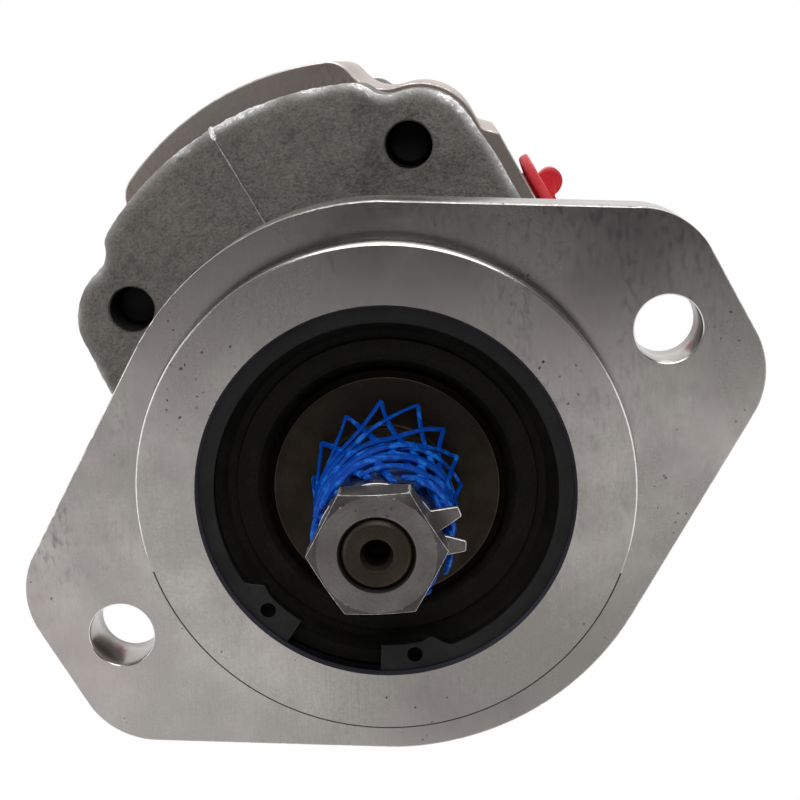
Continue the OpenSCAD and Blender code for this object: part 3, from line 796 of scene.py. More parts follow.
class Effects:
    """The shader groups that several finishes share, each made once."""

    _made: dict[str, bpy.types.NodeTree] = {}

    @classmethod
    def get(cls, name: str) -> bpy.types.NodeTree:
        """The named group, which is made at its first use.

        Args:
            name: name of the group and of the method that makes it.

        Returns:
            The group.
        """
        if name not in cls._made:
            cls._made[name] = getattr(cls, name)()
        return cls._made[name]

    @staticmethod
    def grain() -> bpy.types.NodeTree:
        """Fine grain, soft mottling and dark pits.

        Returns:
            The group.
        """
        inputs = {"Fine Scale": 1800.0, "Mottle Scale": 120.0, "Pit Scale": 500.0, "Pit Size": 0.2}
        g = Group("grain", inputs, ["Fine", "Mottle", "Pits"])
        n, at = g.nodes, g.start.outputs
        where = n.place()
        g.give("Fine", n.band(n.noise(where, at["Fine Scale"], 4, 0.7), 0.3, 0.7))
        g.give("Mottle", n.band(n.noise(where, at["Mottle Scale"], 4, 0.6), 0.35, 0.68))
        cells = n.add("ShaderNodeTexVoronoi", {"Vector": where, "Scale": at["Pit Scale"]})
        chance = n.add("ShaderNodeSeparateXYZ", {0: cells.outputs["Color"]}).outputs[0]
        zones = n.band(n.noise(where, n.times(at["Pit Scale"], 0.1), 4), 0.52, 0.64)
        uneven = n.noise(where, n.times(at["Pit Scale"], 6.0), 3, 0.7)
        size = n.times(n.times(zones, n.band(chance, 0.35, 1.0)), at["Pit Size"])
        size = n.times(size, n.value(n.band(uneven, 0.35, 0.65), 0.2, 1.8))
        g.give("Pits", n.band(n.math("SUBTRACT", size, cells.outputs["Distance"]), 0.0, 0.03))
        return g.tree

    @staticmethod
    def lines() -> bpy.types.NodeTree:
        """Straight milling lines, dark streaks, soft stains and scratches on faces across Y.

        Returns:
            The group.
        """
        inputs = {"Line Scale": 2600.0, "Streak Scale": 900.0, "Stain Scale": 32.0, "Scratches": 0.8}
        g = Group("lines", inputs, ["Lines", "Streaks", "Stain", "Scratch"])
        n, at = g.nodes, g.start.outputs
        where = n.place()
        mill_turn, streak_turn, scratch_turn = -30, -24, 62
        milled = n.noise(n.drawn_out(where, 0.06, mill_turn), at["Line Scale"], 3, 0.6)
        g.give("Lines", n.band(milled, 0.33, 0.67))
        short = n.drawn_out(where, 0.45, streak_turn)
        streak = n.band(n.noise(short, at["Streak Scale"], 5, 0.66), 0.47, 0.66)
        patch = n.band(n.noise(n.drawn_out(where, 0.6, mill_turn), 42, 4, 0.62), 0.46, 0.66)
        x, y, z = n.add("ShaderNodeSeparateXYZ", {0: where}).outputs
        # The dark streaks gather round the upper right corner of the flange's front and towards the top.
        corner = n.band(n.math("ADD", x, z), 0.045, 0.085)
        upper_corner = n.times(corner, n.band(n.times(y, -1.0), -0.02, -0.013))
        patch = n.math("MAXIMUM", patch, upper_corner)
        high = n.band(z, -0.01, 0.012)
        g.give("Streaks", n.times(n.times(streak, patch), n.value(high, 0.2, 1.0)))
        g.give("Stain", n.band(n.noise(where, at["Stain Scale"], 6, 0.62), 0.38, 0.64))
        thin = n.drawn_out(where, 0.22, scratch_turn)
        mark = n.band(n.noise(thin, 760, 5, 0.72), 0.66, 0.7)
        rare = n.band(n.noise(where, 70, 3, 0.6), 0.55, 0.64)
        g.give("Scratch", n.times(n.times(mark, rare), at["Scratches"]))
        return g.tree

    @staticmethod
    def turning() -> bpy.types.NodeTree:
        """Rings left by a lathe round the shaft's axis, and oily blotches.

        Returns:
            The group.
        """
        inputs = {"Ring Scale": 3500.0, "Blotch Scale": 160.0}
        g = Group("turning", inputs, ["Rings", "Blotch"])
        n, at = g.nodes, g.start.outputs
        x, y, z = n.add("ShaderNodeSeparateXYZ", {0: n.place()}).outputs
        r = n.math("SQRT", n.math("ADD", n.times(x, x), n.times(z, z)))
        line = n.add("ShaderNodeCombineXYZ", {0: r, 1: y}).outputs[0]
        lead = n.times(n.math("ARCTAN2", z, x), 0.0004)
        drift = n.add("ShaderNodeCombineXYZ", {0: r, 1: y, 2: lead}).outputs[0]
        g.give("Rings", n.noise(n.blend(0.5, line, drift), at["Ring Scale"], 2, 0.7))
        g.give("Blotch", n.band(n.noise(n.place(), at["Blotch Scale"], 5, 0.6), 0.34, 0.68))
        return g.tree

    @staticmethod
    def edge_wear() -> bpy.types.NodeTree:
        """Mask of bright, bruised edges, and a soft band over all worn edges for a painted highlight, from
        the mesh's own wear values.

        Returns:
            The group.
        """
        g = Group("edge_wear", {"Scale": 900.0, "Amount": 0.5}, ["Mask", "Sheen"])
        n, at = g.nodes, g.start.outputs
        worn = n.add("ShaderNodeAttribute", attribute_name="wear").outputs["Fac"]
        spots = n.noise(n.place(), at["Scale"], 4, 0.7)
        level = n.math("ADD", n.times(worn, at["Amount"]), n.math("SUBTRACT", spots, 0.5))
        g.give("Mask", n.times(n.band(level, 0.22, 0.42), n.band(worn, 0.02, 0.3)))
        g.give("Sheen", n.band(worn, 0.0, 0.8))
        return g.tree


# ---- finishes ----


@dataclass(frozen=True)
class Finish:
    """A surface finish: its material slot in the record and its procedural material."""

    name: str
    slot: str

    def material(self) -> bpy.types.Material:
        """The Blender material, which is made at its first use.

        Returns:
            The material.
        """
        found = bpy.data.materials.get(self.name)
        if found:
            return found
        made = bpy.data.materials.new(self.name)
        made.use_nodes = True
        made.node_tree.nodes.clear()
        n = Nodes(made.node_tree)
        shader = n.add("ShaderNodeBsdfPrincipled")
        out = n.add("ShaderNodeOutputMaterial")
        made.node_tree.links.new(shader.outputs[0], out.inputs[0])
        self.dress(n, shader)
        return made

    def dress(self, n: Nodes, shader: bpy.types.Node) -> None:
        """Connects the finish's nodes to the shader."""
        raise NotImplementedError

    @staticmethod
    def bump(n: Nodes, shader: bpy.types.Node, height: object, strength: float, depth: float) -> None:
        """Lets a height map tilt the shader's normal; depth is in metres."""
        values = {"Height": height, "Strength": strength, "Distance": depth}
        n.put(shader, "Normal", n.add("ShaderNodeBump", values).outputs[0])


@dataclass(frozen=True)
class CastMetal(Finish):
    """Olive-grey cast aluminium with grain, pits, grime, bruised bright edges and a painted highlight
    along the rounded edges.
    """

    dark: Color = (0.086, 0.079, 0.07)
    light: Color = (0.265, 0.25, 0.228)
    worn: Color = (0.8, 0.8, 0.8)
    wear: float = 0.42
    # Colour of the painted highlight along the rounded edges.
    rubbed_sheen: Color = (0.5, 0.495, 0.485)
    grime: Color = (0.045, 0.041, 0.033)
    scratch: Color = (0.035, 0.03, 0.025)
    pit: Color = (0.016, 0.014, 0.012)

    def dress(self, n: Nodes, shader: bpy.types.Node) -> None:
        """Connects grain, pits, grime, worn edges and the painted highlight on the rounded edges.

        Args:
            n: the material's nodes.
            shader: its shader.
        """
        sizes = {"Fine Scale": 2100.0, "Pit Scale": 420.0, "Pit Size": 0.22}
        grain = n.group(Effects.get("grain"), sizes).outputs
        coarse = n.band(n.noise(n.place(), 620, 4, 0.65), 0.34, 0.66)
        tone = n.math("ADD", n.times(grain["Fine"], 0.65), n.times(coarse, 0.2))
        tone = n.math("ADD", tone, n.times(grain["Mottle"], 0.15))
        color = n.blend(tone, self.dark, self.light)
        grime = n.band(n.noise(n.place(), 75, 8, 0.74), 0.5, 0.7)
        color = n.blend(n.times(grime, 0.62), color, self.grime)
        color = n.blend(grain["Pits"], color, self.pit)
        marks = n.group(Effects.get("lines"), {"Scratches": 0.7}).outputs
        color = n.blend(marks["Scratch"], color, self.scratch)
        wear = n.group(Effects.get("edge_wear"), {"Amount": self.wear, "Scale": 1300.0}).outputs
        # The rounded edges are painted lighter along their wear: a painted highlight, with smoother metal.
        mask, soft = wear["Mask"], n.times(wear["Sheen"], 0.8)
        color = n.blend(soft, color, self.rubbed_sheen)
        n.put(shader, "Base Color", n.blend(mask, color, self.worn))
        n.put(shader, "Metallic", n.value(mask, n.value(soft, 0.45, 0.95), 1.0))
        rough = n.value(soft, n.value(grain["Fine"], 0.5, 0.64), 0.38)
        n.put(shader, "Roughness", n.value(mask, rough, 0.26))
        height = n.math("SUBTRACT", n.math("ADD", grain["Fine"], coarse), n.times(grain["Pits"], 1.5))
        self.bump(n, shader, height, 0.6, 0.00016)


@dataclass(frozen=True)
class MachinedMetal(Finish):
    """Milled aluminium with straight lines, dark streaks, soft stains, specks and scratches."""

    dark: Color = (0.35, 0.337, 0.315)
    light: Color = (0.54, 0.52, 0.48)
    tint: Color = (0.42, 0.362, 0.368)
    smear: Color = (0.17, 0.155, 0.175)
    rough: float = 0.24
    metallic: float = 0.95
    flaw: Color = (0.05, 0.034, 0.024)
    worn: Color = (0.84, 0.84, 0.83)

    def dress(self, n: Nodes, shader: bpy.types.Node) -> None:
        """Connects lines, streaks, stains, pits and scratches.

        Args:
            n: the material's nodes.
            shader: its shader.
        """
        marks = n.group(Effects.get("lines")).outputs
        sizes = {"Fine Scale": 2600.0, "Pit Scale": 900.0, "Pit Size": 0.2, "Mottle Scale": 40.0}
        grain = n.group(Effects.get("grain"), sizes).outputs
        tone = n.math("ADD", n.times(marks["Stain"], 0.5), n.times(marks["Lines"], 0.12))
        tone = n.math("ADD", tone, n.times(grain["Fine"], 0.32))
        color = n.blend(tone, self.dark, self.light)
        color = n.blend(n.times(grain["Mottle"], 0.5), color, self.tint)
        color = n.blend(n.times(marks["Streaks"], 0.66), color, self.smear)
        flaw = n.math("MAXIMUM", marks["Scratch"], grain["Pits"])
        color = n.blend(flaw, color, self.flaw)
        mask = n.group(Effects.get("edge_wear"), {"Amount": 0.9, "Scale": 500.0}).outputs["Mask"]
        n.put(shader, "Base Color", n.blend(mask, color, self.worn))
        n.put(shader, "Metallic", n.value(flaw, self.metallic, 0.2))
        rough = n.value(marks["Stain"], self.rough + 0.05, self.rough - 0.03)
        n.put(shader, "Roughness", n.value(mask, rough, 0.2))
        height = n.math("ADD", n.times(marks["Lines"], 0.6), n.times(grain["Fine"], 0.2))
        self.bump(n, shader, height, 0.12, 0.00003)


@dataclass(frozen=True)
class TurnedSteel(Finish):
    """Turned steel with lathe rings and oily or rusty blotches."""

    dark: Color
    light: Color
    blotch: Color
    rough: float
    metallic: float
    worn: Color = (0.12, 0.1, 0.08)
    pit: Color = (0.015, 0.012, 0.01)

    def dress(self, n: Nodes, shader: bpy.types.Node) -> None:
        """Connects rings, blotches and grain.

        Args:
            n: the material's nodes.
            shader: its shader.
        """
        rings = n.group(Effects.get("turning")).outputs
        grain = n.group(Effects.get("grain"), {"Fine Scale": 3200.0, "Pit Scale": 900.0}).outputs
        tone = n.math("ADD", n.times(rings["Rings"], 0.6), n.times(grain["Fine"], 0.4))
        color = n.blend(tone, self.dark, self.light)
        color = n.blend(n.times(rings["Blotch"], 0.6), color, self.blotch)
        color = n.blend(n.times(grain["Pits"], 0.6), color, self.pit)
        mask = n.group(Effects.get("edge_wear"), {"Amount": 0.6, "Scale": 800.0}).outputs["Mask"]
        n.put(shader, "Base Color", n.blend(mask, color, self.worn))
        n.put(shader, "Metallic", self.metallic)
        n.put(shader, "Roughness", n.value(rings["Blotch"], self.rough - 0.07, self.rough + 0.09))
        height = n.math("ADD", rings["Rings"], n.times(grain["Fine"], 0.35))
        self.bump(n, shader, height, 0.3, 0.00005)


@dataclass(frozen=True)
class Moulded(Finish):
    """Rubber or plastic with a fine moulded grain and light dust."""

    color: Color
    dust: Color
    dusty: float
    rough: float
    gloss: float = 0.4
    streak: Color | None = None

    def dress(self, n: Nodes, shader: bpy.types.Node) -> None:
        """Connects grain and dust, and paler streaks as a painted highlight if the finish has them.

        Args:
            n: the material's nodes.
            shader: its shader.
        """
        sizes = {"Fine Scale": 2200.0, "Mottle Scale": 210.0}
        grain = n.group(Effects.get("grain"), sizes).outputs
        low, high = (tuple(min(1.0, k * c) for c in self.color) for k in (0.86, 1.1))
        color = n.blend(grain["Fine"], low, high)
        # Paler streaks: painted highlight.
        if self.streak:
            long = n.band(n.noise(n.place(), 420, 4, 0.6), 0.5, 0.66)
            color = n.blend(long, color, self.streak)
        dust = n.times(n.times(grain["Mottle"], grain["Fine"]), self.dusty)
        n.put(shader, "Base Color", n.blend(dust, color, self.dust))
        n.put(shader, "Roughness", n.value(grain["Mottle"], self.rough - 0.06, self.rough + 0.08))
        n.put(shader, "Specular IOR Level", self.gloss)
        self.bump(n, shader, grain["Fine"], 0.25, 0.00005)


CAST = CastMetal(name="rough_casting", slot="cast_aluminium")
MACHINED = MachinedMetal(name="milled_aluminium", slot="machined_aluminium")
POLISHED = MachinedMetal(
    name="turned_pilot_wall",
    slot="machined_aluminium",
    dark=(0.7, 0.7, 0.69),
    light=(0.86, 0.86, 0.85),
    tint=(0.8, 0.79, 0.78),
    smear=(0.6, 0.6, 0.6),
    rough=0.17,
)
EXTRUDED = MachinedMetal(
    name="extruded_aluminium",
    slot="machined_aluminium",
    dark=(0.34, 0.305, 0.272),
    light=(0.52, 0.475, 0.43),
    tint=(0.47, 0.38, 0.35),
    smear=(0.26, 0.21, 0.19),
    rough=0.4,
)
# Near-black aluminium for the bore, its circlip groove, the cover's tapped holes and the pilot edge's
# lower part: painted shade in the recesses.
SHADE_ALUMINIUM = MachinedMetal(
    name="aluminium_painted_shade",
    slot="machined_aluminium",
    dark=(0.02, 0.019, 0.0175),
    light=(0.04, 0.039, 0.038),
    tint=(0.027, 0.024, 0.021),
    smear=(0.011, 0.01, 0.009),
    rough=0.4,
    metallic=0.6,
)
# Dark bluish grey aluminium for the sloped ring at the bore's mouth: painted shade.
SHADED_RIM = MachinedMetal(
    name="rim_painted_shade",
    slot="machined_aluminium",
    dark=(0.06, 0.063, 0.076),
    light=(0.1, 0.105, 0.12),
    tint=(0.07, 0.073, 0.086),
    smear=(0.03, 0.03, 0.035),
    rough=0.36,
    metallic=0.25,
)
DARK_STEEL = TurnedSteel(
    name="dark_turned_steel",
    slot="dark_steel",
    dark=(0.016, 0.0115, 0.0075),
    light=(0.038, 0.029, 0.02),
    blotch=(0.012, 0.008, 0.005),
    rough=0.46,
    metallic=0.85,
)
BROWN_STEEL = TurnedSteel(
    name="browned_steel",
    slot="dark_steel",
    dark=(0.03, 0.0225, 0.0165),
    light=(0.062, 0.049, 0.038),
    blotch=(0.034, 0.024, 0.017),
    rough=0.38,
    metallic=0.9,
)
GROUND_STEEL = TurnedSteel(
    name="ground_steel",
    slot="steel",
    dark=(0.33, 0.32, 0.31),
    light=(0.52, 0.51, 0.5),
    blotch=(0.3, 0.28, 0.26),
    rough=0.28,
    metallic=1.0,
    worn=(0.7, 0.7, 0.68),
)
PLATED = TurnedSteel(
    name="dull_plating",
    slot="plated_steel",
    dark=(0.125, 0.114, 0.109),
    light=(0.235, 0.217, 0.208),
    blotch=(0.12, 0.104, 0.096),
    rough=0.36,
    metallic=0.92,
    worn=(0.8, 0.79, 0.77),
)
GRIMY = TurnedSteel(
    name="grimy_plating",
    slot="plated_steel",
    dark=(0.05, 0.047, 0.046),
    light=(0.11, 0.105, 0.104),
    blotch=(0.045, 0.04, 0.037),
    rough=0.42,
    metallic=0.9,
    worn=(0.7, 0.69, 0.66),
)
BLACK_STEEL = TurnedSteel(
    name="black_spring_steel",
    slot="black_steel",
    dark=(0.011, 0.011, 0.0105),
    light=(0.024, 0.024, 0.0235),
    blotch=(0.01, 0.009, 0.008),
    rough=0.48,
    metallic=0.6,
    worn=(0.05, 0.05, 0.05),
)
# Near-black steel for the shoulder's chamfer and rim, where its edge lies in shadow: painted shade.
SHADED_STEEL = TurnedSteel(
    name="steel_painted_shade",
    slot="dark_steel",
    dark=(0.0025, 0.002, 0.0016),
    light=(0.006, 0.005, 0.004),
    blotch=(0.002, 0.0016, 0.001),
    rough=0.5,
    metallic=1.0,
    worn=(0.02, 0.018, 0.014),
)
BRONZE = TurnedSteel(
    name="bearing_bronze",
    slot="bronze",
    dark=(0.42, 0.27, 0.12),
    light=(0.62, 0.43, 0.22),
    blotch=(0.4, 0.27, 0.14),
    rough=0.36,
    metallic=1.0,
    worn=(0.7, 0.5, 0.3),
)
RUBBER = Moulded(
    name="seal_rubber",
    slot="black_rubber",
    color=(0.009, 0.0085, 0.007),
    dust=(0.03, 0.028, 0.021),
    dusty=0.35,
    rough=0.62,
    gloss=0.07,
)
BACKUP = Moulded(
    name="backup_strip_plastic",
    slot="backup_plastic",
    color=(0.7, 0.67, 0.58),
    dust=(0.5, 0.47, 0.4),
    dusty=0.2,
    rough=0.45,
)
BLUE = Moulded(
    name="blue_net_plastic",
    slot="blue_plastic",
    color=(0.0, 0.062, 0.42),
    dust=(0.0, 0.1, 0.5),
    dusty=0.1,
    rough=0.26,
    gloss=0.1,
    # Paler blue streaks on the strands: painted highlight.
    streak=(0.015, 0.2, 0.8),
)
RED = Moulded(
    name="red_plug_plastic",
    slot="red_plastic",
    color=(0.74, 0.024, 0.038),
    dust=(0.6, 0.16, 0.14),
    dusty=0.12,
    rough=0.42,
)


# ---- sub-assemblies ----


def round_over(r: float, y: float, into: float, steps: int) -> list[tuple[float, float, float]]:
    """Steps of a rounded edge.

    Args:
        r: radius of the rounding.
        y: height of the face that the rounding starts from.
        into: +1 if the plate lies on the +Y side of that face, else -1.
        steps: number of steps.

    Returns:
        (inset, height, wear) of each step, from the face to the side.
    """
    out = []
    for i in range(steps + 1):
        a = math.pi / 2 * i / steps
        wear = math.sin(2 * a) ** 0.7 if 0 < i < steps else 0.0
        out.append((r * (1 - math.sin(a)), y + into * r * (1 - math.cos(a)), wear))
    return out


@dataclass
class FrontHousing:
    """The casting with flange, pilot, neck and lobed cover."""

    flange_t: float = 11.0
    flange_half: float = 65.3
    flange_mid_r: float = 47.4
    flange_slant: float = 31.6
    flange_corner_r: float = 14.0
    edge: float = 0.24
    pilot_r: float = 41.275
    pilot_h: float = 6.0
    pilot_edge: float = 0.4
    groove: float = 0.55
    rim: float = 0.45
    rim_end: float = -5.0
    clip_span: Flat = (-4.9, -2.7)
    clip_depth: float = 1.5
    bolt_x: float = 53.2
    bolt_r: float = 5.55
    bore_r: float = 31.0
    bearing_end: float = 18.2
    shoulder_r: float = 27.5
    chamber_r: float = 21.0
    neck_r: float = 37.0
    neck_low_r: float = 28.0
    neck_draft: float = 1.3
    neck_from: float = 24.4
    fillet: float = 3.0
    cover_y: float = 35.0
    cover_end: float = 59.0
    cover_edge_r: float = 2.8
    middle: float = 16.5
    lobe_bolt: Flat = (29.8, 29.0)
    tap_r: float = 4.25
    tap_turns: int = 9
    pitch: float = 1.5
    thread: float = 0.62
    seal_seat: tuple[float, float, float] = (15.02, 42.0, 49.0)
    shaft_hole_r: float = 9.6
    outline: LobedOutline = LobedOutline(49.5, 60, 23.8, 5, (30.4, 26.9), 11.3, 5, 42.5)

    def flange_loop(self) -> list[Flat]:
        """The flange's outline, clockwise from its top.

        Returns:
            520 points at equal distances.
        """
        s, c = math.sin(math.radians(self.flange_slant)), math.cos(math.radians(self.flange_slant))
        x = self.flange_half - self.flange_corner_r
        z = (self.flange_mid_r - self.flange_corner_r - s * x) / c
        turn = 90 - self.flange_slant
        right = arc((0, 0), self.flange_mid_r, 90, turn) + arc((x, z), self.flange_corner_r, turn, 0)
        right += arc((x, -z), self.flange_corner_r, 0, -turn) + arc((0, 0), self.flange_mid_r, -turn, -90)
        return resample(right + [(-px, -pz) for px, pz in right], 520)

    def turned_profile(self) -> list[tuple]:
        """Profile of the pilot, the stepped bore and the neck.

        Returns:
            Points for Draft.turn, from the groove round the pilot to the neck's foot.
        """
        p, g, b, f, t = self.pilot_r, self.groove, self.bore_r, self.fillet, self.flange_t
        top, edge = -self.pilot_h, self.pilot_edge
        wall, bore, rim, cast = FlangeSlot.WALL, FlangeSlot.SHADE, FlangeSlot.SHADED_RIM, FlangeSlot.CAST
        clip_y0, clip_y1 = self.clip_span
        floor, back = self.bearing_end + 3, self.cover_y + 1
        profile = [
            (p + g, 0.0), (p + g, g), (p, g), (p, 0.0), (p, -2.2, 0, wall),
            (p, edge + top, 0, wall), (p - 0.12, 0.12 + top, 1), (p - edge, top),
            (b + self.rim, top, 0, rim), (b + 0.02, self.rim_end, 0, bore), (b, clip_y0, 0, bore),
            (b + self.clip_depth, clip_y0, 0, bore), (b + self.clip_depth, clip_y1, 0, bore),
            (b, clip_y1, 0, bore), (b, self.bearing_end), (self.shoulder_r, self.bearing_end),
            (self.shoulder_r, floor), (self.chamber_r, floor), (self.chamber_r, back),
            (self.neck_low_r, back, 0, cast), (self.neck_low_r, self.cover_y, 0, cast),
            (self.neck_low_r + f / 3, self.cover_y - f, 0, cast),
        ]
        steps, start, draft = 6, self.cover_y - f - 1, self.neck_draft
        for i in range(steps + 1):
            a = i / steps
            lean = a * a * (3 - 2 * a)
            r = self.neck_low_r + draft + lean * (self.neck_r - self.neck_low_r - draft)
            profile.append((r, start - a * (start - self.neck_from), 0, cast))
        for i in range(steps + 1):
            a = math.pi / 2 * i / steps
            profile.append((self.neck_r + f * (1 - math.cos(a)), t + f * (1 - math.sin(a)), 0, cast))
        return profile

    def build_flange(self) -> bpy.types.Object:
        """Flange, pilot, bore and neck as one closed mesh.

        Returns:
            The piece.
        """
        d, loop = Draft(), self.flange_loop()
        e, t, n = self.edge, self.flange_t, 192
        front = [d.level(inset(loop, i), y, 0.3 * w) for i, y, w in round_over(e, 0, 1, 3)]
        back = [d.level(inset(loop, i), y, 0.3 * w) for i, y, w in round_over(e, t, -1, 3)]
        d.loft(front + back[::-1])
        rims = {0.0: [], t: []}
        for side in (-1, 1):
            centre = (side * self.bolt_x, 0.0)
            walls = [(self.bolt_r + e, 0.0), (self.bolt_r + e / 3, e / 3, 1), (self.bolt_r, e)]
            walls += [(self.bolt_r, t - e), (self.bolt_r + e / 3, t - e / 3, 1), (self.bolt_r + e, t)]
            first = d.level(circle(centre, walls[0][0], 64), 0.0)
            last = d.level(circle(centre, walls[-1][0], 64), t)
            d.turn(walls, 64, centre, ends=(first, last))
            rims[0.0].append(first)
            rims[t].append(last)
        centre_front = d.level(circle((0, 0), self.pilot_r + self.groove, n), 0.0)
        centre_back = d.level(circle((0, 0), self.neck_r + self.fillet, n), t)
        d.turn(self.turned_profile(), n, ends=(centre_front, centre_back))
        self.paint_pilot_edge_light(d)
        d.cap(front[0], rims[0.0] + [centre_front], 0.0)
        d.cap(back[0], rims[t] + [centre_back], t)
        return d.build("housing_flange", Body.HOUSING, [MACHINED, CAST, POLISHED, SHADE_ALUMINIUM, SHADED_RIM], 30)

    def paint_pilot_edge_light(self, d: Draft) -> None:
        """Paints light and shade on the pilot's edge: the bright worn edge stays only round its upper
        right, as a painted highlight, and the edge's lower part gets the near-black finish as painted
        shade.

        Args:
            d: the flange's mesh under construction.
        """
        face, r = 0.13 - self.pilot_h, self.pilot_r - self.pilot_edge - 0.05
        shaded_below, lit_from, fade = -0.3, -0.32, 0.2

        def upper(x: float, z: float) -> float:
            """1 in the middle of the bright part of the edge and -1 opposite it."""
            return (0.5 * x + 0.866 * z) / self.pilot_r

        # Bright edge wear only on the upper right: painted highlight.
        for number, (x, y, z) in enumerate(d.points):
            if y < face and math.hypot(x, z) > r:
                d.wear[number] *= min(1.0, max(0.0, (upper(x, z) - lit_from) / fade))
        # Lower part of the edge: near-black finish, painted shade.
        for number, corners in enumerate(d.faces):
            ring = [d.points[i] for i in corners]
            if all(y < face and upper(x, z) < shaded_below and math.hypot(x, z) > r for x, y, z in ring):
                d.slots[number] = FlangeSlot.SHADE

    def bruise_and_highlight(self, x: float, z: float) -> float:
        """How worn the cover's edge is at a place: patchy all round, and most on the upper right lobe,
        where the extra wear is a painted highlight.

        Args:
            x: X of the place.
            z: Z of the place.

        Returns:
            Wear from 0 to 1.
        """
        # Upper right lobe: extra wear that paints the highlight there.
        near = min(1.0, max(0.0, (x + 14) / 22)) * min(1.0, max(0.0, (z - 34) / 10))
        patchy = 0.6 + 1.1 * noise.noise(Vector((x * 0.16, z * 0.16, 4.0)))
        return min(1.0, max(0.0, (0.7 + 0.6 * near) * patchy))

    def tap_walls(self) -> list[tuple]:
        """Profile of a tapped hole through the cover.

        Returns:
            Points for Draft.turn, from the front face to the back face.
        """
        y0, y1, r, tap = self.cover_y, self.cover_end, self.tap_r, CoverSlot.TAP
        walls = [(r + 0.25, y0, 0.5, CoverSlot.CAST), (r - 0.05, y0 + 0.4, 0, tap)]
        for k in range(self.tap_turns):
            y = y0 + 0.8 + k * self.pitch
            walls += [(r, y, 0, tap), (r + self.thread, y + 0.7, 0, tap)]
        walls.append((r, y0 + 0.8 + self.tap_turns * self.pitch, 0, tap))
        return walls + [(r, y1 - 0.3, 0, tap), (r + 0.3, y1)]

    def build_cover(self) -> bpy.types.Object:
        """The lobed cover with its rounded, bruised cast edge.

        Returns:
            The piece.
        """
        d, loop = Draft(), self.outline.loop(self.middle, 560)
        y0, y1, edge = self.cover_y, self.cover_end, self.cover_edge_r
        front = []
        for i, y, _ in round_over(edge, y0, 1, 9):
            front.append(d.level(inset(loop, i), y))
            for number, (x, z) in zip(front[-1], loop):
                d.wear[number] = max(0.0, 1 - i / edge - 0.3) / 0.7 * self.bruise_and_highlight(x, z)
        sides = [d.level(loop, y0 + edge + k * 1.6) for k in range(1, 12)]
        rear = [d.level(loop, y1 - 0.3), d.level(inset(loop, 0.3), y1)]
        d.loft(front + sides + rear)
        rims, ends = [], []
        walls = self.tap_walls()
        for side in (-1, 1):
            centre = (side * self.lobe_bolt[0], self.middle + self.lobe_bolt[1])
            first = d.level(circle(centre, walls[0][0], 72), y0)
            last = d.level(circle(centre, walls[-1][0], 72), y1)
            d.turn(walls, 72, centre, CoverSlot.TAP, (first, last))
            rims.append(first)
            ends.append(last)
        neck = d.level(circle((0, 0), self.chamber_r, 128), y0)
        hub = d.level(circle((0, 0), self.shaft_hole_r, 128), y1)
        seat_r, seat_y, seat_end = self.seal_seat
        bore = [(self.chamber_r, y0), (self.chamber_r, seat_y), (seat_r, seat_y), (seat_r, seat_end)]
        bore += [(self.shaft_hole_r, seat_end), (self.shaft_hole_r, y1)]
        d.turn(bore, 128, ends=(neck, hub))
        d.cap(front[0], rims + [neck], y0, spacing=1.3)
        d.cap(rear[-1], ends + [hub], y1)
        d.roughen(0.12, 0.24, 1.3, (y1, y1 - 0.3))
        return d.build("housing_cover", Body.HOUSING, [CAST, SHADE_ALUMINIUM], 50)

    def build_parting_line(self) -> bpy.types.Object:
        """The thin raised line that the mould's joint left over the cover.

        Returns:
            The piece.
        """
        d, r = Draft(), self.cover_edge_r
        top = self.middle + self.outline.dome_top
        bruised = range(32, 41)
        path = [(self.cover_y, 28 + k * 1.1) for k in range(31)]
        path += [
            (self.cover_y + r - r * math.cos(a), top - r + r * math.sin(a))
            for a in [math.pi / 2 * i / 10 for i in range(1, 11)]
        ]
        path += [(self.cover_y + r + 1.5 * k, top) for k in range(1, 13)]
        rings = []
        for i, (y, z) in enumerate(path):
            a, b = path[max(0, i - 1)], path[min(len(path) - 1, i + 1)]
            t = Vector((b[0] - a[0], b[1] - a[1])).normalized()
            out = Vector((-t.y, t.x))
            edge = i in bruised
            high = (0.5 if edge else 0.26) * (0.75 + 0.5 * noise.noise(Vector((i * 0.7, 0, 3))))
            wide = (0.7 if edge else 0.24) * (0.9 + 0.4 * noise.noise(Vector((i * 0.5, 7, 0))))
            drift = 0.12 * noise.noise(Vector((i * 0.35, 2, 9)))
            section = [(-wide, -0.3), (-wide * 0.45, high * 0.8), (wide * 0.3, high), (wide, -0.3)]
            points = [(drift + s, y + out.x * h, z + out.y * h) for s, h in section]
            rings.append(d.add(points, 1.0 if edge else 0.55))
        d.loft(rings, ends=True)
        return d.build("housing_parting_line", Body.HOUSING, [CAST], 60)

    def build(self) -> None:
        """Makes the casting's pieces, which stand for its CAD node."""
        for piece in (self.build_flange(), self.build_cover(), self.build_parting_line()):
            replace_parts(piece, "front_housing")


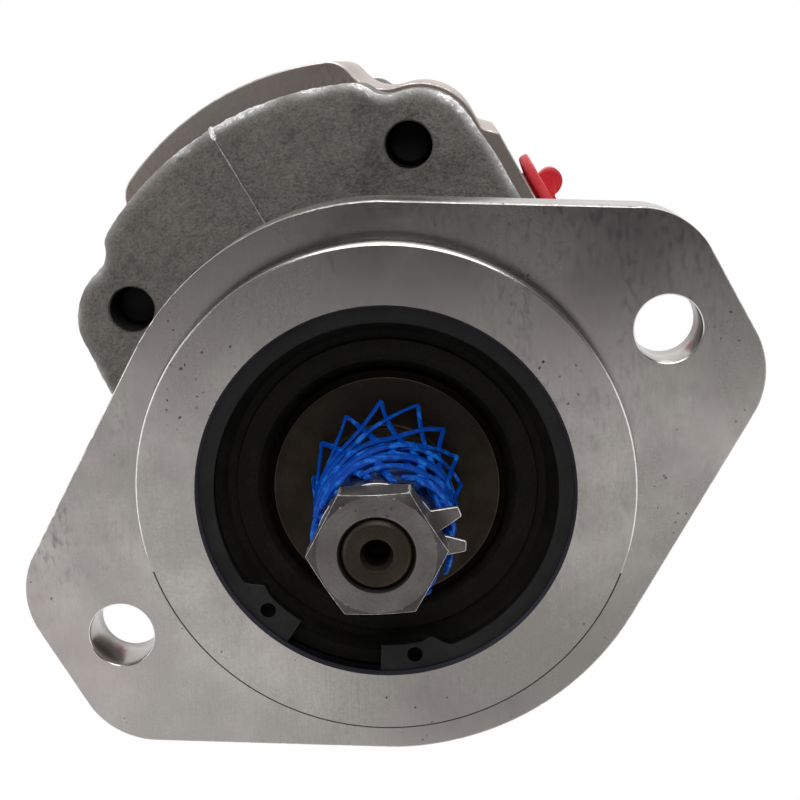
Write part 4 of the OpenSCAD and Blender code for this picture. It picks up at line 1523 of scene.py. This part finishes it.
@dataclass
class PumpBody:
    """The gear body with its ports, and the rear cover with its bolts."""

    front: float = 59.0
    length: float = 58.0
    rear_t: float = 20.0
    middle: float = 16.5
    gear_dist: float = 33.0
    cavity_r: float = 19.3
    bolt: Flat = (29.8, 29.0)
    bolt_clear: float = 5.25
    port_y: float = 88.0
    port_r: float = 10.2
    port_depth: float = 17.0
    passage_r: float = 8.0
    boss: float = 45.0
    rear_edge_r: float = 2.0
    washer_t: float = 2.0
    washer_r: float = 10.0
    head_af: float = 16.0
    head_h: float = 6.4
    head_turn: float = 17.0
    thread_depth: float = 16.0
    shank_r: float = 4.95
    core_r: float = 4.2
    body_outline: LobedOutline = LobedOutline(
        54.6, 57.4, 20.6, 5, (30.2, 26.8), 12.3, 9, 42.5, 45.0, 22.6
    )
    cover_outline: LobedOutline = LobedOutline(49.5, 60, 23.8, 5, (30.4, 26.9), 11.3, 5, 42.5)

    def eight(self, r: float, n: int = 180) -> list[Flat]:
        """Figure-of-eight outline of the two gear bores, clockwise.

        Args:
            r: radius of both bores.
            n: number of points.

        Returns:
            The closed outline.
        """
        half = math.degrees(math.acos(self.gear_dist / 2 / r))
        top = arc((0, self.gear_dist), r, 180 + 90 - half, -90 + half, 3)
        low = arc((0, 0), r, 90 - half, 90 + half - 360, 3)
        return resample(top + low, n)

    def bolt_places(self) -> list[Flat]:
        """X and Z of the four body bolts."""
        return [(sx * self.bolt[0], self.middle + sz * self.bolt[1]) for sx in (-1, 1) for sz in (-1, 1)]

    def bolt_walls(self, d: Draft, y0: float, y1: float) -> tuple[list[list[int]], list[list[int]]]:
        """Walls of the four bolt holes.

        Args:
            d: mesh under construction.
            y0: height of the first face.
            y1: height of the second face.

        Returns:
            The holes' rims at the first face and at the second.
        """
        rims, ends = [], []
        for centre in self.bolt_places():
            first = d.level(circle(centre, self.bolt_clear, 48), y0)
            last = d.level(circle(centre, self.bolt_clear, 48), y1)
            d.bridge(first, last)
            rims.append(first)
            ends.append(last)
        return rims, ends

    def build_body(self) -> bpy.types.Object:
        """The gear body, with bores, bolt holes and ports.

        Returns:
            The piece.
        """
        d, y0, y1 = Draft(), self.front, self.front + self.length
        loop = self.body_outline.loop(self.middle, 520)
        rings = [
            d.level(inset(loop, 0.3), y0), d.level(inset(loop, 0.08), y0 + 0.1, 0.4),
            d.level(loop, y0 + 0.3), d.level(loop, y1 - 0.3),
            d.level(inset(loop, 0.08), y1 - 0.1, 0.4), d.level(inset(loop, 0.3), y1),
        ]
        d.loft(rings)
        bore = [d.level(self.eight(self.cavity_r), y) for y in (y0, y1)]
        d.bridge(*bore)
        rims, ends = self.bolt_walls(d, y0, y1)
        d.cap(rings[0], rims + [bore[0]], y0)
        d.cap(rings[-1], ends + [bore[1]], y1)
        piece = d.build("gear_body_extrusion", Body.HOUSING, [EXTRUDED], 24)
        face, r = self.boss, self.port_r
        rods = [
            (r, face - self.port_depth, face + 2, r),
            (self.passage_r, 5, face - 10, self.passage_r),
            (r, face - 1.2, face + 0.8, r + 2.0),
        ]
        cutters = []
        for s in (-1, 1):
            for r_in, x0, x1, r_out in rods:
                start, end = (s * x0, self.port_y, self.middle), (s * x1, self.port_y, self.middle)
                cutters.append(rod_cutter(r_in, start, end, r_out))
        carve(piece, cutters)
        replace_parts(piece, "gear_body")
        return piece

    def build_rear(self) -> bpy.types.Object:
        """The cast rear cover.

        Returns:
            The piece.
        """
        d, y0 = Draft(), self.front + self.length
        y1 = y0 + self.rear_t
        loop = self.cover_outline.loop(self.middle, 480)
        back = []
        for i, y, w in round_over(self.rear_edge_r, y1, -1, 6):
            back.append(d.level(inset(loop, i), y))
            for number, (x, z) in zip(back[-1], loop):
                d.wear[number] = w * max(0.0, 0.35 + 0.8 * noise.noise(Vector((x * 0.13, 9.0, z * 0.13))))
        sides = [d.level(loop, y1 - self.rear_edge_r - 1.6 * k) for k in range(1, 11)]
        front = [d.level(loop, y0 + 0.3), d.level(inset(loop, 0.3), y0)]
        d.loft(back + sides + front)
        rims, ends = self.bolt_walls(d, y0, y1)
        pockets, r, deep = [], 9.0, y0 + 3
        for z in (0.0, self.gear_dist):
            rim = d.level(circle((0, z), r, 64), y0)
            d.turn([(r, y0), (r, deep), (0, deep)], 64, (0, z), ends=(rim, None))
            pockets.append(rim)
        d.cap(front[-1], rims + pockets, y0)
        d.cap(back[0], ends, y1, spacing=1.6)
        d.roughen(0.1, 0.12, 1.3, (y0, y0 + 0.3))
        piece = d.build("rear_cover_casting", Body.HOUSING, [CAST], 50)
        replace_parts(piece, "rear_cover")
        return piece

    def build_washer(self, number: int, centre: Flat, y: float) -> None:
        """One bolt's washer.

        Args:
            number: number of the bolt.
            centre: X and Z of its axis.
            y: height of the face under the washer.
        """
        d, r_in, r_out, t, e = Draft(), self.bolt_clear, self.washer_r, self.washer_t, 0.25
        profile = [(r_in, y), (r_out - e, y), (r_out, y + e), (r_out, y + t - e, 1)]
        profile += [(r_out - e, y + t), (r_in, y + t)]
        d.turn(profile, 72, centre, closed=True)
        washer = d.build(f"bolt_washer_{number}", Body.HOUSING, [PLATED])
        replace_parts(washer, "bolt_washers")

    def build_bolt(self, number: int, centre: Flat, y: float) -> None:
        """One bolt, with a dished hexagon head and a shank.

        Args:
            number: number of the bolt.
            centre: X and Z of its axis.
            y: height of the face under the head.
        """
        d, top, f, turn = Draft(), y + self.head_h, self.head_af / 2, self.head_turn * number
        rings = hexagon(d, centre, f, turn, (top - self.head_h, top), (False, True))
        for y_in, r_in in ((top, f - 1.6), (top - 0.3, f - 1.9)):
            dish = d.level(circle(centre, r_in, 96), y_in)
            first = round(turn * len(dish) / 360)
            dish = dish[first:] + dish[:first]
            d.bridge(rings[-1], dish)
            rings.append(dish)
        d.face(tuple(rings[0]))
        d.face(tuple(rings[-1]))
        tip, core, shank, neck = self.front - self.thread_depth, self.core_r, self.shank_r, y + 1
        profile = [(0, tip), (core - 0.8, tip), (core, tip + 0.8), (core, self.front)]
        profile += [(shank, self.front + 1), (shank, neck), (0, neck)]
        d.turn(profile, 48, centre, NutSlot.THREAD)
        bolt = d.build(f"body_bolt_{number}", Body.HOUSING, [PLATED, BLACK_STEEL], 30)
        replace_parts(bolt, "body_bolts")

    def build_bolts(self) -> None:
        """Hexagon-head bolts and their washers on the rear cover."""
        y = self.front + self.length + self.rear_t
        for number, centre in enumerate(self.bolt_places()):
            self.build_washer(number, centre, y)
            self.build_bolt(number, centre, y + self.washer_t)

    def build(self) -> None:
        """Makes the body, the rear cover and the bolts."""
        self.build_body()
        self.build_rear()
        self.build_bolts()


@dataclass
class ShaftEnd:
    """The tapered shaft with its thin nut, tab washer and seal shoulder."""

    end_y: float = -38.2
    nut_t: float = 6.0
    tab_t: float = 1.0
    nut_af: float = 18.0
    nut_turn: float = 32.4
    thread_r: float = 5.35
    thread_turns: int = 3
    pitch: float = 1.5
    hole_r: float = 1.9
    taper_small_r: float = 8.7
    taper_big_r: float = 10.44
    taper_end: float = -3.3
    shoulder_r: float = 20.0
    shoulder_y: float = -0.9
    bearing_y: float = 4.2
    bearing_r: float = 17.5
    clip_span: Flat = (18.25, 19.85)
    clip_r: float = 16.5
    collar_end: float = 22.5
    tang: Point = (26.0, 5.4, 9.8)
    tab_r: float = 9.2
    tab_tip_r: float = 13.0
    tab_half: float = 1.7
    tab_round: float = 0.36
    tab_angles: tuple[float, float] = (-32.0, -7.8)

    def end_profile(self) -> list[tuple]:
        """Profile of the centre hole, the thread and the taper.

        Returns:
            Points for Draft.turn, from the bottom of the hole to the big end of the taper.
        """
        y, r, hole = self.end_y, self.thread_r, self.hole_r
        end, thread, ground = ShaftSlot.END, ShaftSlot.THREAD, ShaftSlot.GROUND
        profile = [
            (0, y + 7.8, 0, thread), (hole, y + 7, 0, thread), (hole, y + 0.9, 0, end),
            (hole + 0.55, y + 0.05, 0, end), (hole + 0.65, y, 0, end), (r - 0.75, y, 0, end),
            (r - 0.62, y + 0.06, 0, end), (r - 0.05, y + 0.62, 0, end), (r, y + 0.75, 0, end),
        ]
        for k in range(self.thread_turns):
            at = y + 1.2 + self.pitch * k
            profile += [(r, at, 0, thread), (r - 0.5, at + 0.6, 0, thread)]
            profile += [(r - 0.5, at + 0.8, 0, thread), (r, at + 1.4, 0, thread)]
        tab_end, edge, steps = y + self.nut_t + self.tab_t, 0.4, 12
        small, big = self.taper_small_r, self.taper_big_r
        profile += [(r, tab_end, 0, ground), (small - edge, tab_end, 0, ground)]
        profile.append((small, tab_end + edge, 0, ground))
        long = self.taper_end - tab_end - edge
        for k in range(1, steps + 1):
            r = small + (big - small) * k / steps
            profile.append((r, tab_end + edge + long * k / steps, 0, ground))
        return profile

    def collar_profile(self) -> list[tuple]:
        """Profile of the seal shoulder and of the bearing seat behind it.

        Returns:
            Points for Draft.turn, from the shoulder's face to the collar's end.
        """
        r, face, seat, end = self.shoulder_r, self.shoulder_y, self.bearing_r, self.collar_end
        # The shoulder's chamfer and rim get the near-black steel as painted shade.
        front, shade_slot, ground = ShaftSlot.END, ShaftSlot.SHADED_STEEL, ShaftSlot.GROUND
        clip_y0, clip_y1 = self.clip_span
        big = self.taper_big_r
        return [
            (big, face - 0.6), (big + 0.2, face - 0.15), (big + 0.6, face),
            (r - 1.35, face, 0, front), (r - 1.22, face + 0.03, 0, shade_slot),
            (r - 0.1, face + 0.46, 0, shade_slot), (r, face + 0.6, 0, shade_slot),
            (r, self.bearing_y), (seat, self.bearing_y, 0, ground),
            (seat, clip_y0, 0, ground), (self.clip_r, clip_y0, 0, ground),
            (self.clip_r, clip_y1, 0, ground), (seat, clip_y1, 0, ground), (seat, end - 0.5, 0, ground),
            (seat - 0.5, end, 0, ground), (0, end, 0, ground),
        ]

    def build_shaft(self) -> None:
        """The shaft, from its centre hole to the tang that drives the coupling."""
        d = Draft()
        d.turn(self.end_profile() + self.collar_profile(), 144)
        x, h, z = self.tang[0] / 2, self.tang[1], self.tang[2] / 2
        rings = []
        for level, shrink in ((-1.0, 0.0), (h - 0.5, 0.0), (h, 0.5)):
            u, v = x - shrink, z - shrink
            rings.append(d.level([(-u, -v), (u, -v), (u, v), (-u, v)], self.collar_end + level))
        d.loft(rings, ends=True)
        finishes = [DARK_STEEL, BROWN_STEEL, BLACK_STEEL, GROUND_STEEL, SHADED_STEEL]
        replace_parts(d.build("shaft_turned", Body.SHAFT, finishes, 24), "drive_shaft")

    def build_nut(self) -> None:
        """The thin hexagon nut, with cone-cut corners and a threaded hole."""
        d, y, f, r = Draft(), self.end_y, self.nut_af / 2, self.thread_r + 0.05
        end, sink, thread = y + self.nut_t, 0.62, NutSlot.THREAD
        turn = self.nut_turn - 30
        rings = hexagon(d, (0.0, 0.0), f, turn, (y, end), (True, True), NutSlot.CONES)
        front, back = (d.level(circle((0, 0), r + sink, 96), at) for at in (y, end))
        walls = [(r + sink, y, 0, NutSlot.FLATS), (r + 0.36, y + 0.02, 0.1, thread)]
        walls.append((r, y + 0.5, 0, thread))
        for k in range(self.thread_turns):
            at = y + 0.9 + self.pitch * k
            walls += [(r, at, 0, thread), (r + 0.45, at + 0.7, 0, thread)]
        walls += [(r, end - 0.6, 0, thread), (r + sink, end)]
        d.turn(walls, 96, ends=(front, back))
        groove = d.level([(p[0] * (f - 0.75), p[1] * (f - 0.75)) for p in circle((0, 0), 1, 96)], y)
        d.cap(rings[0], [groove], y)
        d.cap(groove, [front], y)
        d.cap(rings[-1], [back], end)
        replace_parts(d.build("nut_thin_hexagon", Body.SHAFT, [PLATED, BLACK_STEEL, GRIMY], 24), "hex_nut")

    def tab_shape(self, root: float) -> list[Flat]:
        """Outline of one tang, which points along X and narrows to a rounded tip.

        Args:
            root: half the angle of its foot, in degrees.

        Returns:
            The outline, from foot to foot.
        """
        half, tip_x = self.tab_half, self.tab_tip_r - self.tab_round
        side = [(self.tab_r * math.cos(math.radians(root)), -half), (9.9, -1.5), (11.6, -1.12)]
        tip = arc((tip_x, -0.5), self.tab_round, -84, 0, 20)
        tip += arc((tip_x, 0.5), self.tab_round, 0, 90, 20)
        shape = side + [*tip, (self.tab_tip_r - 0.4, 0.87)]
        return shape + [(x, -z) for x, z in reversed(side)]

    def build_washer(self) -> None:
        """The tab washer, with two tangs that have rounded tips."""
        d, y0 = Draft(), self.end_y + self.nut_t
        y1, loop, stops = y0 + self.tab_t, [], self.tab_angles
        root = math.degrees(math.asin(self.tab_half / self.tab_r))
        for k, middle in enumerate(stops):
            c, s = math.cos(math.radians(middle)), math.sin(math.radians(middle))
            loop += [(x * c - z * s, x * s + z * c) for x, z in self.tab_shape(root)]
            after = stops[k + 1] if k + 1 < len(stops) else stops[0] + 360
            loop += arc((0, 0), self.tab_r, middle + root + 2, after - root - 1, 4)
        front, back = d.plate(loop[::-1], (y0, y1), 0.14, 1)
        holes = [d.level(circle((0, 0), self.thread_r + 0.1, 64), y) for y in (y0, y1)]
        d.bridge(*holes)
        d.cap(front, [holes[0]], y0)
        d.cap(back, [holes[1]], y1)
        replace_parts(d.build("tab_washer_plate", Body.SHAFT, [PLATED], 24), "tab_washer")

    def build(self) -> None:
        """Makes the shaft, the nut and the tab washer."""
        self.build_shaft()
        self.build_nut()
        self.build_washer()


@dataclass
class Circlip:
    """The black internal circlip, with two shouldered lugs."""

    y: float = -4.8
    t: float = 2.0
    out_r: float = 32.4
    in_r: float = 28.4
    lug_r: float = 26.4
    middle: float = -137.6
    gap: float = 30.8
    lug: float = 24.0
    hole_r: float = 1.3
    hole_at: float = 11.6
    hole_dist: float = 28.5

    def inner(self, a: float) -> float:
        """Inner radius at an angle a, in degrees, behind the gap's end.

        Args:
            a: angle from the end of the ring.

        Returns:
            The radius, with the lug's shoulder and the low wave behind it.
        """
        rise = min(1.0, max(0.0, (a - self.lug + 5.0) / 6.0))
        rise = rise * rise * (3 - 2 * rise)
        hump = 0.5 * math.exp(-(((a - self.lug + 5.5) / 2.2) ** 2))
        return self.lug_r + (self.in_r - self.lug_r) * rise - hump

    def build(self) -> None:
        """Makes the circlip, which stands for its CAD node."""
        d, n = Draft(), 330
        first, last = self.middle + self.gap / 2, self.middle + 360 - self.gap / 2
        turns = [first + (last - first) * i / n for i in range(n + 1)]
        outer = [polar(self.out_r, a) for a in turns]
        inner = [polar(self.inner(min(a - first, last - a)), a) for a in turns]
        y0, y1 = self.y, self.y + self.t
        front, back = d.plate(outer[::-1] + inner, (y0, y1), 0.15, 0.4)
        fronts, backs = [], []
        for s in (-1, 1):
            centre = polar(self.hole_dist, self.middle + s * (self.gap / 2 + self.hole_at))
            near, far = (d.level(circle(centre, self.hole_r, 40), y) for y in (y0, y1))
            d.bridge(near, far)
            fronts.append(near)
            backs.append(far)
        d.cap(front, fronts, y0)
        d.cap(back, backs, y1)
        piece = d.build("circlip_spring_ring", Body.HOUSING, [BLACK_STEEL], 24)
        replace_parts(piece, "internal_circlip")


@dataclass
class NetSleeve:
    """The blue extruded net over the taper: two families of strands that meet in points."""

    near_y: float = -31.0
    far_y: float = -2.0
    near_r: float = 9.1
    far_r: float = 10.6
    bulge: float = 1.9
    bulge_at: float = -50.0
    flare_from: float = -11.0
    flare_r: float = 12.7
    peak: float = 2.5
    peak_at: float = 55.0
    strands: int = 15
    first_tip: float = 63.0
    sweep: tuple[float, float] = (165.0, -78.0)
    strand_r: float = 0.62
    sides: int = 8
    steps: int = 84

    def radius(self, y: float, a: float) -> float:
        """Radius of the net's middle surface.

        Args:
            y: height of the place.
            a: angle of the place, in degrees.

        Returns:
            The radius there.
        """
        t = (y - self.near_y) / (self.far_y - self.near_y)
        r = self.near_r + (self.far_r - self.near_r) * t
        towards = max(0.0, math.cos(math.radians(a - self.bulge_at))) ** 2
        r += self.bulge * towards * max(0.0, 1 - 2 * t)
        if y > self.flare_from:
            f = (y - self.flare_from) / (self.far_y - self.flare_from)
            out = self.flare_r + self.peak * max(0.0, math.cos(math.radians(a - self.peak_at))) ** 3
            r += (out - self.far_r) * f**2
        return r

    def build(self) -> None:
        """Makes all the strands as one piece, which stands for the CAD sleeve."""
        d = Draft()
        for layer in (0, 1):
            for k in range(self.strands):
                self.strand(d, k, layer)
        piece = d.build("net_strands", Body.SHAFT, [BLUE], 60)
        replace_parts(piece, "mesh_sleeve")

    def path(self, k: int, layer: int) -> list[Vector]:
        """The line that a strand follows, from the nut to its tip before the shoulder.

        Args:
            k: number of the strand.
            layer: 0 for the steep family and 1 for the other.

        Returns:
            Points on the line.
        """
        turn = 360 * k / self.strands
        tip = turn + self.first_tip + 6.9 * (1 - math.cos(math.radians(turn)))
        high = 0.8 * noise.noise(Vector((k * 3.1, 5, 4.2)))
        early = 2.6 + 7.0 * noise.noise(Vector((k * 1.9, layer * 4, 7.7)))
        swept = self.sweep[layer] * (1 + 0.35 * noise.noise(Vector((k * 2.1, layer * 3, 1.9))))
        start = self.near_y + max(0.0, early)
        points = []
        for i in range(self.steps + 1):
            t = i / self.steps
            y = start + (self.far_y + 0.8 * high - start) * t
            wander = 15.0 * noise.noise(Vector((t * 2.6, k * 1.7, layer * 9.0 + 4)))
            a = tip + swept * (1 - t) ** 1.15 + wander * (1 - t**3) * (0.3 + 0.7 * t)
            uneven = 0.45 * noise.noise(Vector((t * 5, k * 2.3, layer)))
            lift = (0.1 if layer else 0.6) * (1 - t**8) + uneven
            r = self.radius(y, a) + lift * (1 - 0.6 * t**6) + high * t**6
            x, z = polar(r, a)
            points.append(Vector((x, y, z)))
        return points

    def strand(self, d: Draft, k: int, layer: int) -> None:
        """One strand, oval in section and uneven in thickness.

        Args:
            d: mesh under construction.
            k: number of the strand.
            layer: 0 for the steep family and 1 for the other.
        """
        path, rings = self.path(k, layer), []
        wide, flat = 1.15, 0.8
        for i, p in enumerate(path):
            t = i / self.steps
            along = (path[min(i + 1, self.steps)] - path[max(i - 1, 0)]).normalized()
            side = along.cross(Vector((p.x, 0, p.z)).normalized()).normalized()
            up = side.cross(along)
            thick = self.strand_r * (1 + 0.45 * noise.noise(Vector((i * 0.12, k, layer))))
            thick *= 0.86 + 0.3 * math.sin(math.pi * min(1.0, t * 1.25)) - 0.3 * max(0.0, t - 0.6) / 0.4
            thick *= 0.55 if i in (0, self.steps) else 1.0
            ring = []
            for j in range(self.sides):
                b = 2 * math.pi * j / self.sides
                ring.append(tuple(p + (side * math.cos(b) * wide + up * math.sin(b) * flat) * thick))
            rings.append(d.add(ring))
        d.loft(rings, ends=True)


@dataclass
class PortPlug:
    """A red plastic transport plug with a rounded grip."""

    side: int
    body: Body
    boss: float = 45.0
    port: Flat = (88.0, 16.5)
    port_r: float = 10.1
    flange_r: float = 13.3
    flange_t: float = 2.2
    depth: float = 9.0
    wall: float = 1.5
    lift: float = 1.0
    grip_half: float = 8.6
    grip_h: float = 5.0
    ear_r: float = 2.7
    waist_h: float = 1.7
    grip_t: float = 5.0

    def turned_profile(self) -> list[tuple]:
        """Profile of the plug's cup, its sealing ribs and its thin flange.

        Returns:
            Points for Draft.turn, from the middle of the cup to the middle of the flange's top.
        """
        r, t, f, e = self.port_r, self.flange_t, self.flange_r, 0.7
        profile = [(0, -1.5), (r - self.wall, -1.5), (r - self.wall - 0.3, -self.depth)]
        profile += [(r - 0.9, -self.depth), (r - 0.1, -self.depth + 1.6)]
        profile += [(r - 0.05, -4.2), (r, -4), (r, -3.2)]
        profile += [(r - 0.15, -3), (r - 0.15, -1.6), (r, -1.4), (r, -0.01)]
        profile += [(r + (f - e - r) * i / 4, 0) for i in range(5)]
        eighths = [math.pi / 8 * i for i in range(5)]
        profile += [(f - e + e * math.sin(a), e - e * math.cos(a)) for a in eighths[1:]]
        profile += [(f - e + e * math.cos(a), t - e + e * math.sin(a)) for a in eighths]
        profile += [((f - e) * (1 - i / 8), t) for i in range(1, 9)]
        return profile

    def grip_outline(self) -> list[Flat]:
        """Outline of the grip: a low bridge between two round ears.

        Returns:
            Its points, across and above the flange.
        """
        ear, waist, foot = (self.grip_half - self.ear_r, self.grip_h - self.ear_r), self.waist_h, 0.8
        half = [(-ear[0] - self.ear_r * 0.72, -foot)]
        half += arc((-ear[0], ear[1]), self.ear_r, 195, -15, 12)
        half += [(-ear[0] + self.ear_r, waist + 0.5), (-ear[0] + self.ear_r + 0.6, waist)]
        return half + [(-x, z) for x, z in reversed(half)]

    def dished(self, p: Point) -> Point:
        """Lifts a point of the flange or the grip, so that the flange's rim stands up.

        Args:
            p: the point.

        Returns:
            The lifted point, or the same one below the flange.
        """
        x, y, z = p
        inner = 0.45
        rise = max(0.0, math.hypot(x, z) / self.flange_r - inner) ** 1.5 / 0.55**1.5
        return (x, y + (self.lift * rise if y >= 0 else 0.0), z)

    def build(self) -> None:
        """Makes the plug, which stands for its CAD node."""
        d, t, w, soft = Draft(), self.flange_t, self.grip_t / 2, 0.6
        d.turn(self.turned_profile(), 96)
        d.flat.clear()
        rows = []
        for i in range(5):
            a = math.pi / 8 * i
            rows.append((soft * (1 - math.sin(a)), -w + soft * (1 - math.cos(a))))
        rows += [(shrink, -side) for shrink, side in reversed(rows)]
        outline, rings = self.grip_outline(), []
        for shrink, side in rows:
            across, above = 1 - shrink / self.grip_half, 1 - shrink / self.grip_h
            section = [(side, t + (z if z < 0 else z * above), x * across) for x, z in outline]
            rings.append(d.add(section))
        d.points = [self.dished(p) for p in d.points]
        d.loft(rings, ends=True)
        d.points = [
            (self.side * (self.boss + y), self.port[0] + x, self.port[1] + z) for x, y, z in d.points
        ]
        name = "right" if self.side > 0 else "left"
        piece = d.build(f"port_plug_{name}_moulding", self.body, [RED], 40)
        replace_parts(piece, f"port_plug_{name}")


def dress_nodes() -> None:
    """Gives the CAD nodes that stay their finishes and slightly broken edges."""
    broken_edge = 0.12 * MM
    finishes = {
        "woodruff_key": GROUND_STEEL, "shaft_seal": RUBBER,
        "bearing_outer_ring": GROUND_STEEL, "bearing_inner_ring": GROUND_STEEL,
        "bearing_balls": GROUND_STEEL, "bearing_cage": BRONZE, "shaft_circlip": BLACK_STEEL,
        "shaft_coupling": DARK_STEEL, "inner_seal": RUBBER, "drive_gear": GROUND_STEEL,
        "driven_gear": GROUND_STEEL, "front_bearing_block": MACHINED,
        "rear_bearing_block": MACHINED, "front_bushes": BRONZE, "rear_bushes": BRONZE,
        "front_block_seal": RUBBER, "rear_block_seal": RUBBER, "front_block_backup": BACKUP,
        "rear_block_backup": BACKUP, "front_body_seal": RUBBER, "rear_body_seal": RUBBER,
        "dowel_pins": GROUND_STEEL,
    }
    for name, finish in finishes.items():
        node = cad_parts[name]
        node.data.materials.clear()
        node.data.materials.append(finish.material())
        soft = node.modifiers.new("broken_edges", "BEVEL")
        soft.width, soft.segments, soft.limit_method = broken_edge, 2, "ANGLE"
        soft.harden_normals = True
        LOG.info("%s: dressed as %s", name, finish.name)


# ---- studio ----


@dataclass(frozen=True)
class Studio:
    """Camera, lamps, floor and surroundings, like the photograph's."""

    focal: float = 1574.517
    centre: Flat = (412.226, 486.918)
    picture: int = 800
    sensor: float = 36.0
    eye: Point = (0.0435747, -0.2546123, 0.0541461)
    right: Point = (0.86323, 0.0239, -0.50424)
    down: Point = (-0.48158, -0.26056, -0.83677)
    forward: Point = (-0.15139, 0.96516, -0.21341)
    floor_z: float = -0.30
    floor_half: float = 3.0
    aim: Point = (0.0, 0.03, 0.01)
    ambient: float = 0.5

    def build_camera(self) -> None:
        """The camera, fitted to the flange's edges in the photograph."""
        data = bpy.data.cameras.new("camera")
        data.sensor_width = self.sensor
        data.lens = self.sensor * self.focal / self.picture
        data.shift_x = (self.picture / 2 - self.centre[0]) / self.picture
        data.shift_y = (self.centre[1] - self.picture / 2) / self.picture
        data.clip_start, data.clip_end = 0.01, 20
        camera = bpy.data.objects.new("camera", data)
        axes = Matrix((self.right, [-v for v in self.down], [-v for v in self.forward])).transposed()
        camera.matrix_world = Matrix.Translation(self.eye) @ axes.to_4x4()
        bpy.context.scene.collection.objects.link(camera)
        bpy.context.scene.camera = camera

    def lamp(self, name: str, place: Vector, size: float, watts: float) -> None:
        """A white area lamp that faces the pump.

        Args:
            name: name of the lamp.
            place: where it stands, in metres.
            size: length of its sides, in metres.
            watts: its power.
        """
        data = bpy.data.lights.new(name, "AREA")
        data.size, data.energy = size, watts
        lamp = bpy.data.objects.new(name, data)
        lamp.location = place
        lamp.rotation_euler = (Vector(self.aim) - place).to_track_quat("-Z", "Y").to_euler()
        bpy.context.scene.collection.objects.link(lamp)

    def sheet(self, name: str, corners: list[Vector], color: Color, seen: bool) -> None:
        """A flat four-cornered stage piece with a faintly uneven matt surface.

        Args:
            name: name of the piece.
            corners: its corners, in metres.
            color: its colour.
            seen: True for the floor, which the camera and reflections see as white; False for a
                card that only reflections show.
        """
        mesh = bpy.data.meshes.new(name)
        mesh.from_pydata(corners, [], [(0, 1, 2, 3)])
        piece = bpy.data.objects.new(name, mesh)
        bpy.context.scene.collection.objects.link(piece)
        material = bpy.data.materials.new(name)
        material.use_nodes = True
        material.node_tree.nodes.clear()
        n = Nodes(material.node_tree)
        tone = n.noise(n.place(), 3.0)
        shade = n.blend(tone, tuple(0.97 * c for c in color), color)
        diffuse = n.add("ShaderNodeBsdfDiffuse", {"Color": shade}).outputs[0]
        out = n.add("ShaderNodeOutputMaterial")
        if seen:
            path = n.add("ShaderNodeLightPath").outputs
            white = n.add("ShaderNodeEmission", {"Color": (1, 1, 1, 1), "Strength": 1.0}).outputs[0]
            rays = n.math("MAXIMUM", path["Is Glossy Ray"], path["Is Transmission Ray"])
            almost_white = 0.992
            rays = n.math("MAXIMUM", rays, n.times(path["Is Camera Ray"], almost_white))
            shown = n.add("ShaderNodeMixShader", {0: rays, 1: diffuse, 2: white})
            n.put(out, 0, shown.outputs[0])
        else:
            n.put(out, 0, diffuse)
            piece.visible_camera = False
        mesh.materials.append(material)

    def card(self, name: str, shape: list[Flat], away: float, color: Color) -> None:
        """A card behind the camera that only the pump's reflections show.

        Args:
            name: name of the card.
            shape: its four corners, right of and above the camera's axis, in metres.
            away: its distance behind the pump.
            color: its colour.
        """
        up, right, base = -Vector(self.down), Vector(self.right), -away * Vector(self.forward)
        corners = [base + right * x + up * h for x, h in shape]
        self.sheet(name, corners, color, False)

    def build(self) -> None:
        """Makes the camera, the white surroundings, the floor, two dark cards and the lamps."""
        self.build_camera()
        up, right, back = -Vector(self.down), Vector(self.right), -Vector(self.forward)
        world = bpy.data.worlds.new("studio")
        bpy.context.scene.world = world
        world.use_nodes = True
        world.node_tree.nodes.clear()
        n = Nodes(world.node_tree)
        path = n.add("ShaderNodeLightPath").outputs
        seen = n.math("MAXIMUM", path["Is Camera Ray"], path["Is Glossy Ray"])
        seen = n.math("MAXIMUM", seen, path["Is Transmission Ray"])
        color = (1, 1, 1, 1)
        light = n.add("ShaderNodeBackground", {"Color": color, "Strength": self.ambient}).outputs[0]
        white = n.add("ShaderNodeBackground", {"Color": color, "Strength": 1.0}).outputs[0]
        mixed = n.add("ShaderNodeMixShader", {0: seen, 1: light, 2: white})
        n.put(n.add("ShaderNodeOutputWorld"), 0, mixed.outputs[0])
        z, half = self.floor_z, self.floor_half
        sides = ((-half, -half), (half, -half), (half, half), (-half, half))
        corners = [Vector((x, y, z)) for x, y in sides]
        self.sheet("studio_floor", corners, (0.85, 0.85, 0.85), True)
        dark = [(-0.9, -0.42), (0.9, -0.39), (0.9, 0.6), (-0.9, 0.6)]
        self.card("studio_dark_card", dark, 0.9, (0.02, 0.012, 0.03))
        grey = [(-0.06, -0.43), (0.2, -0.43), (0.2, -0.32), (-0.06, -0.33)]
        self.card("studio_grey_card", grey, 0.45, (0.03, 0.027, 0.022))
        self.lamp("front_top_softbox", back * 0.75 + up * 0.4, 0.5, 2.4)
        self.lamp("left_softbox", back * 0.15 - right * 0.7 + up * 0.1, 0.4, 0.7)
        self.lamp("top_softbox", up * 0.75 - back * 0.2 + right * 0.15, 0.6, 1.6)
        bpy.context.scene.view_settings.view_transform = "Standard"


def main() -> None:
    """Builds the studio and every piece, in order."""
    logging.basicConfig(level=logging.INFO, format="%(name)s: %(message)s")
    noise.seed_set(SEED)
    Studio().build()
    FrontHousing().build()
    PumpBody().build()
    ShaftEnd().build()
    Circlip().build()
    NetSleeve().build()
    PortPlug(1, Body.PLUG_RIGHT).build()
    PortPlug(-1, Body.PLUG_LEFT).build()
    dress_nodes()
    bpy.context.view_layer.update()


if __name__ == "__main__":
    main()
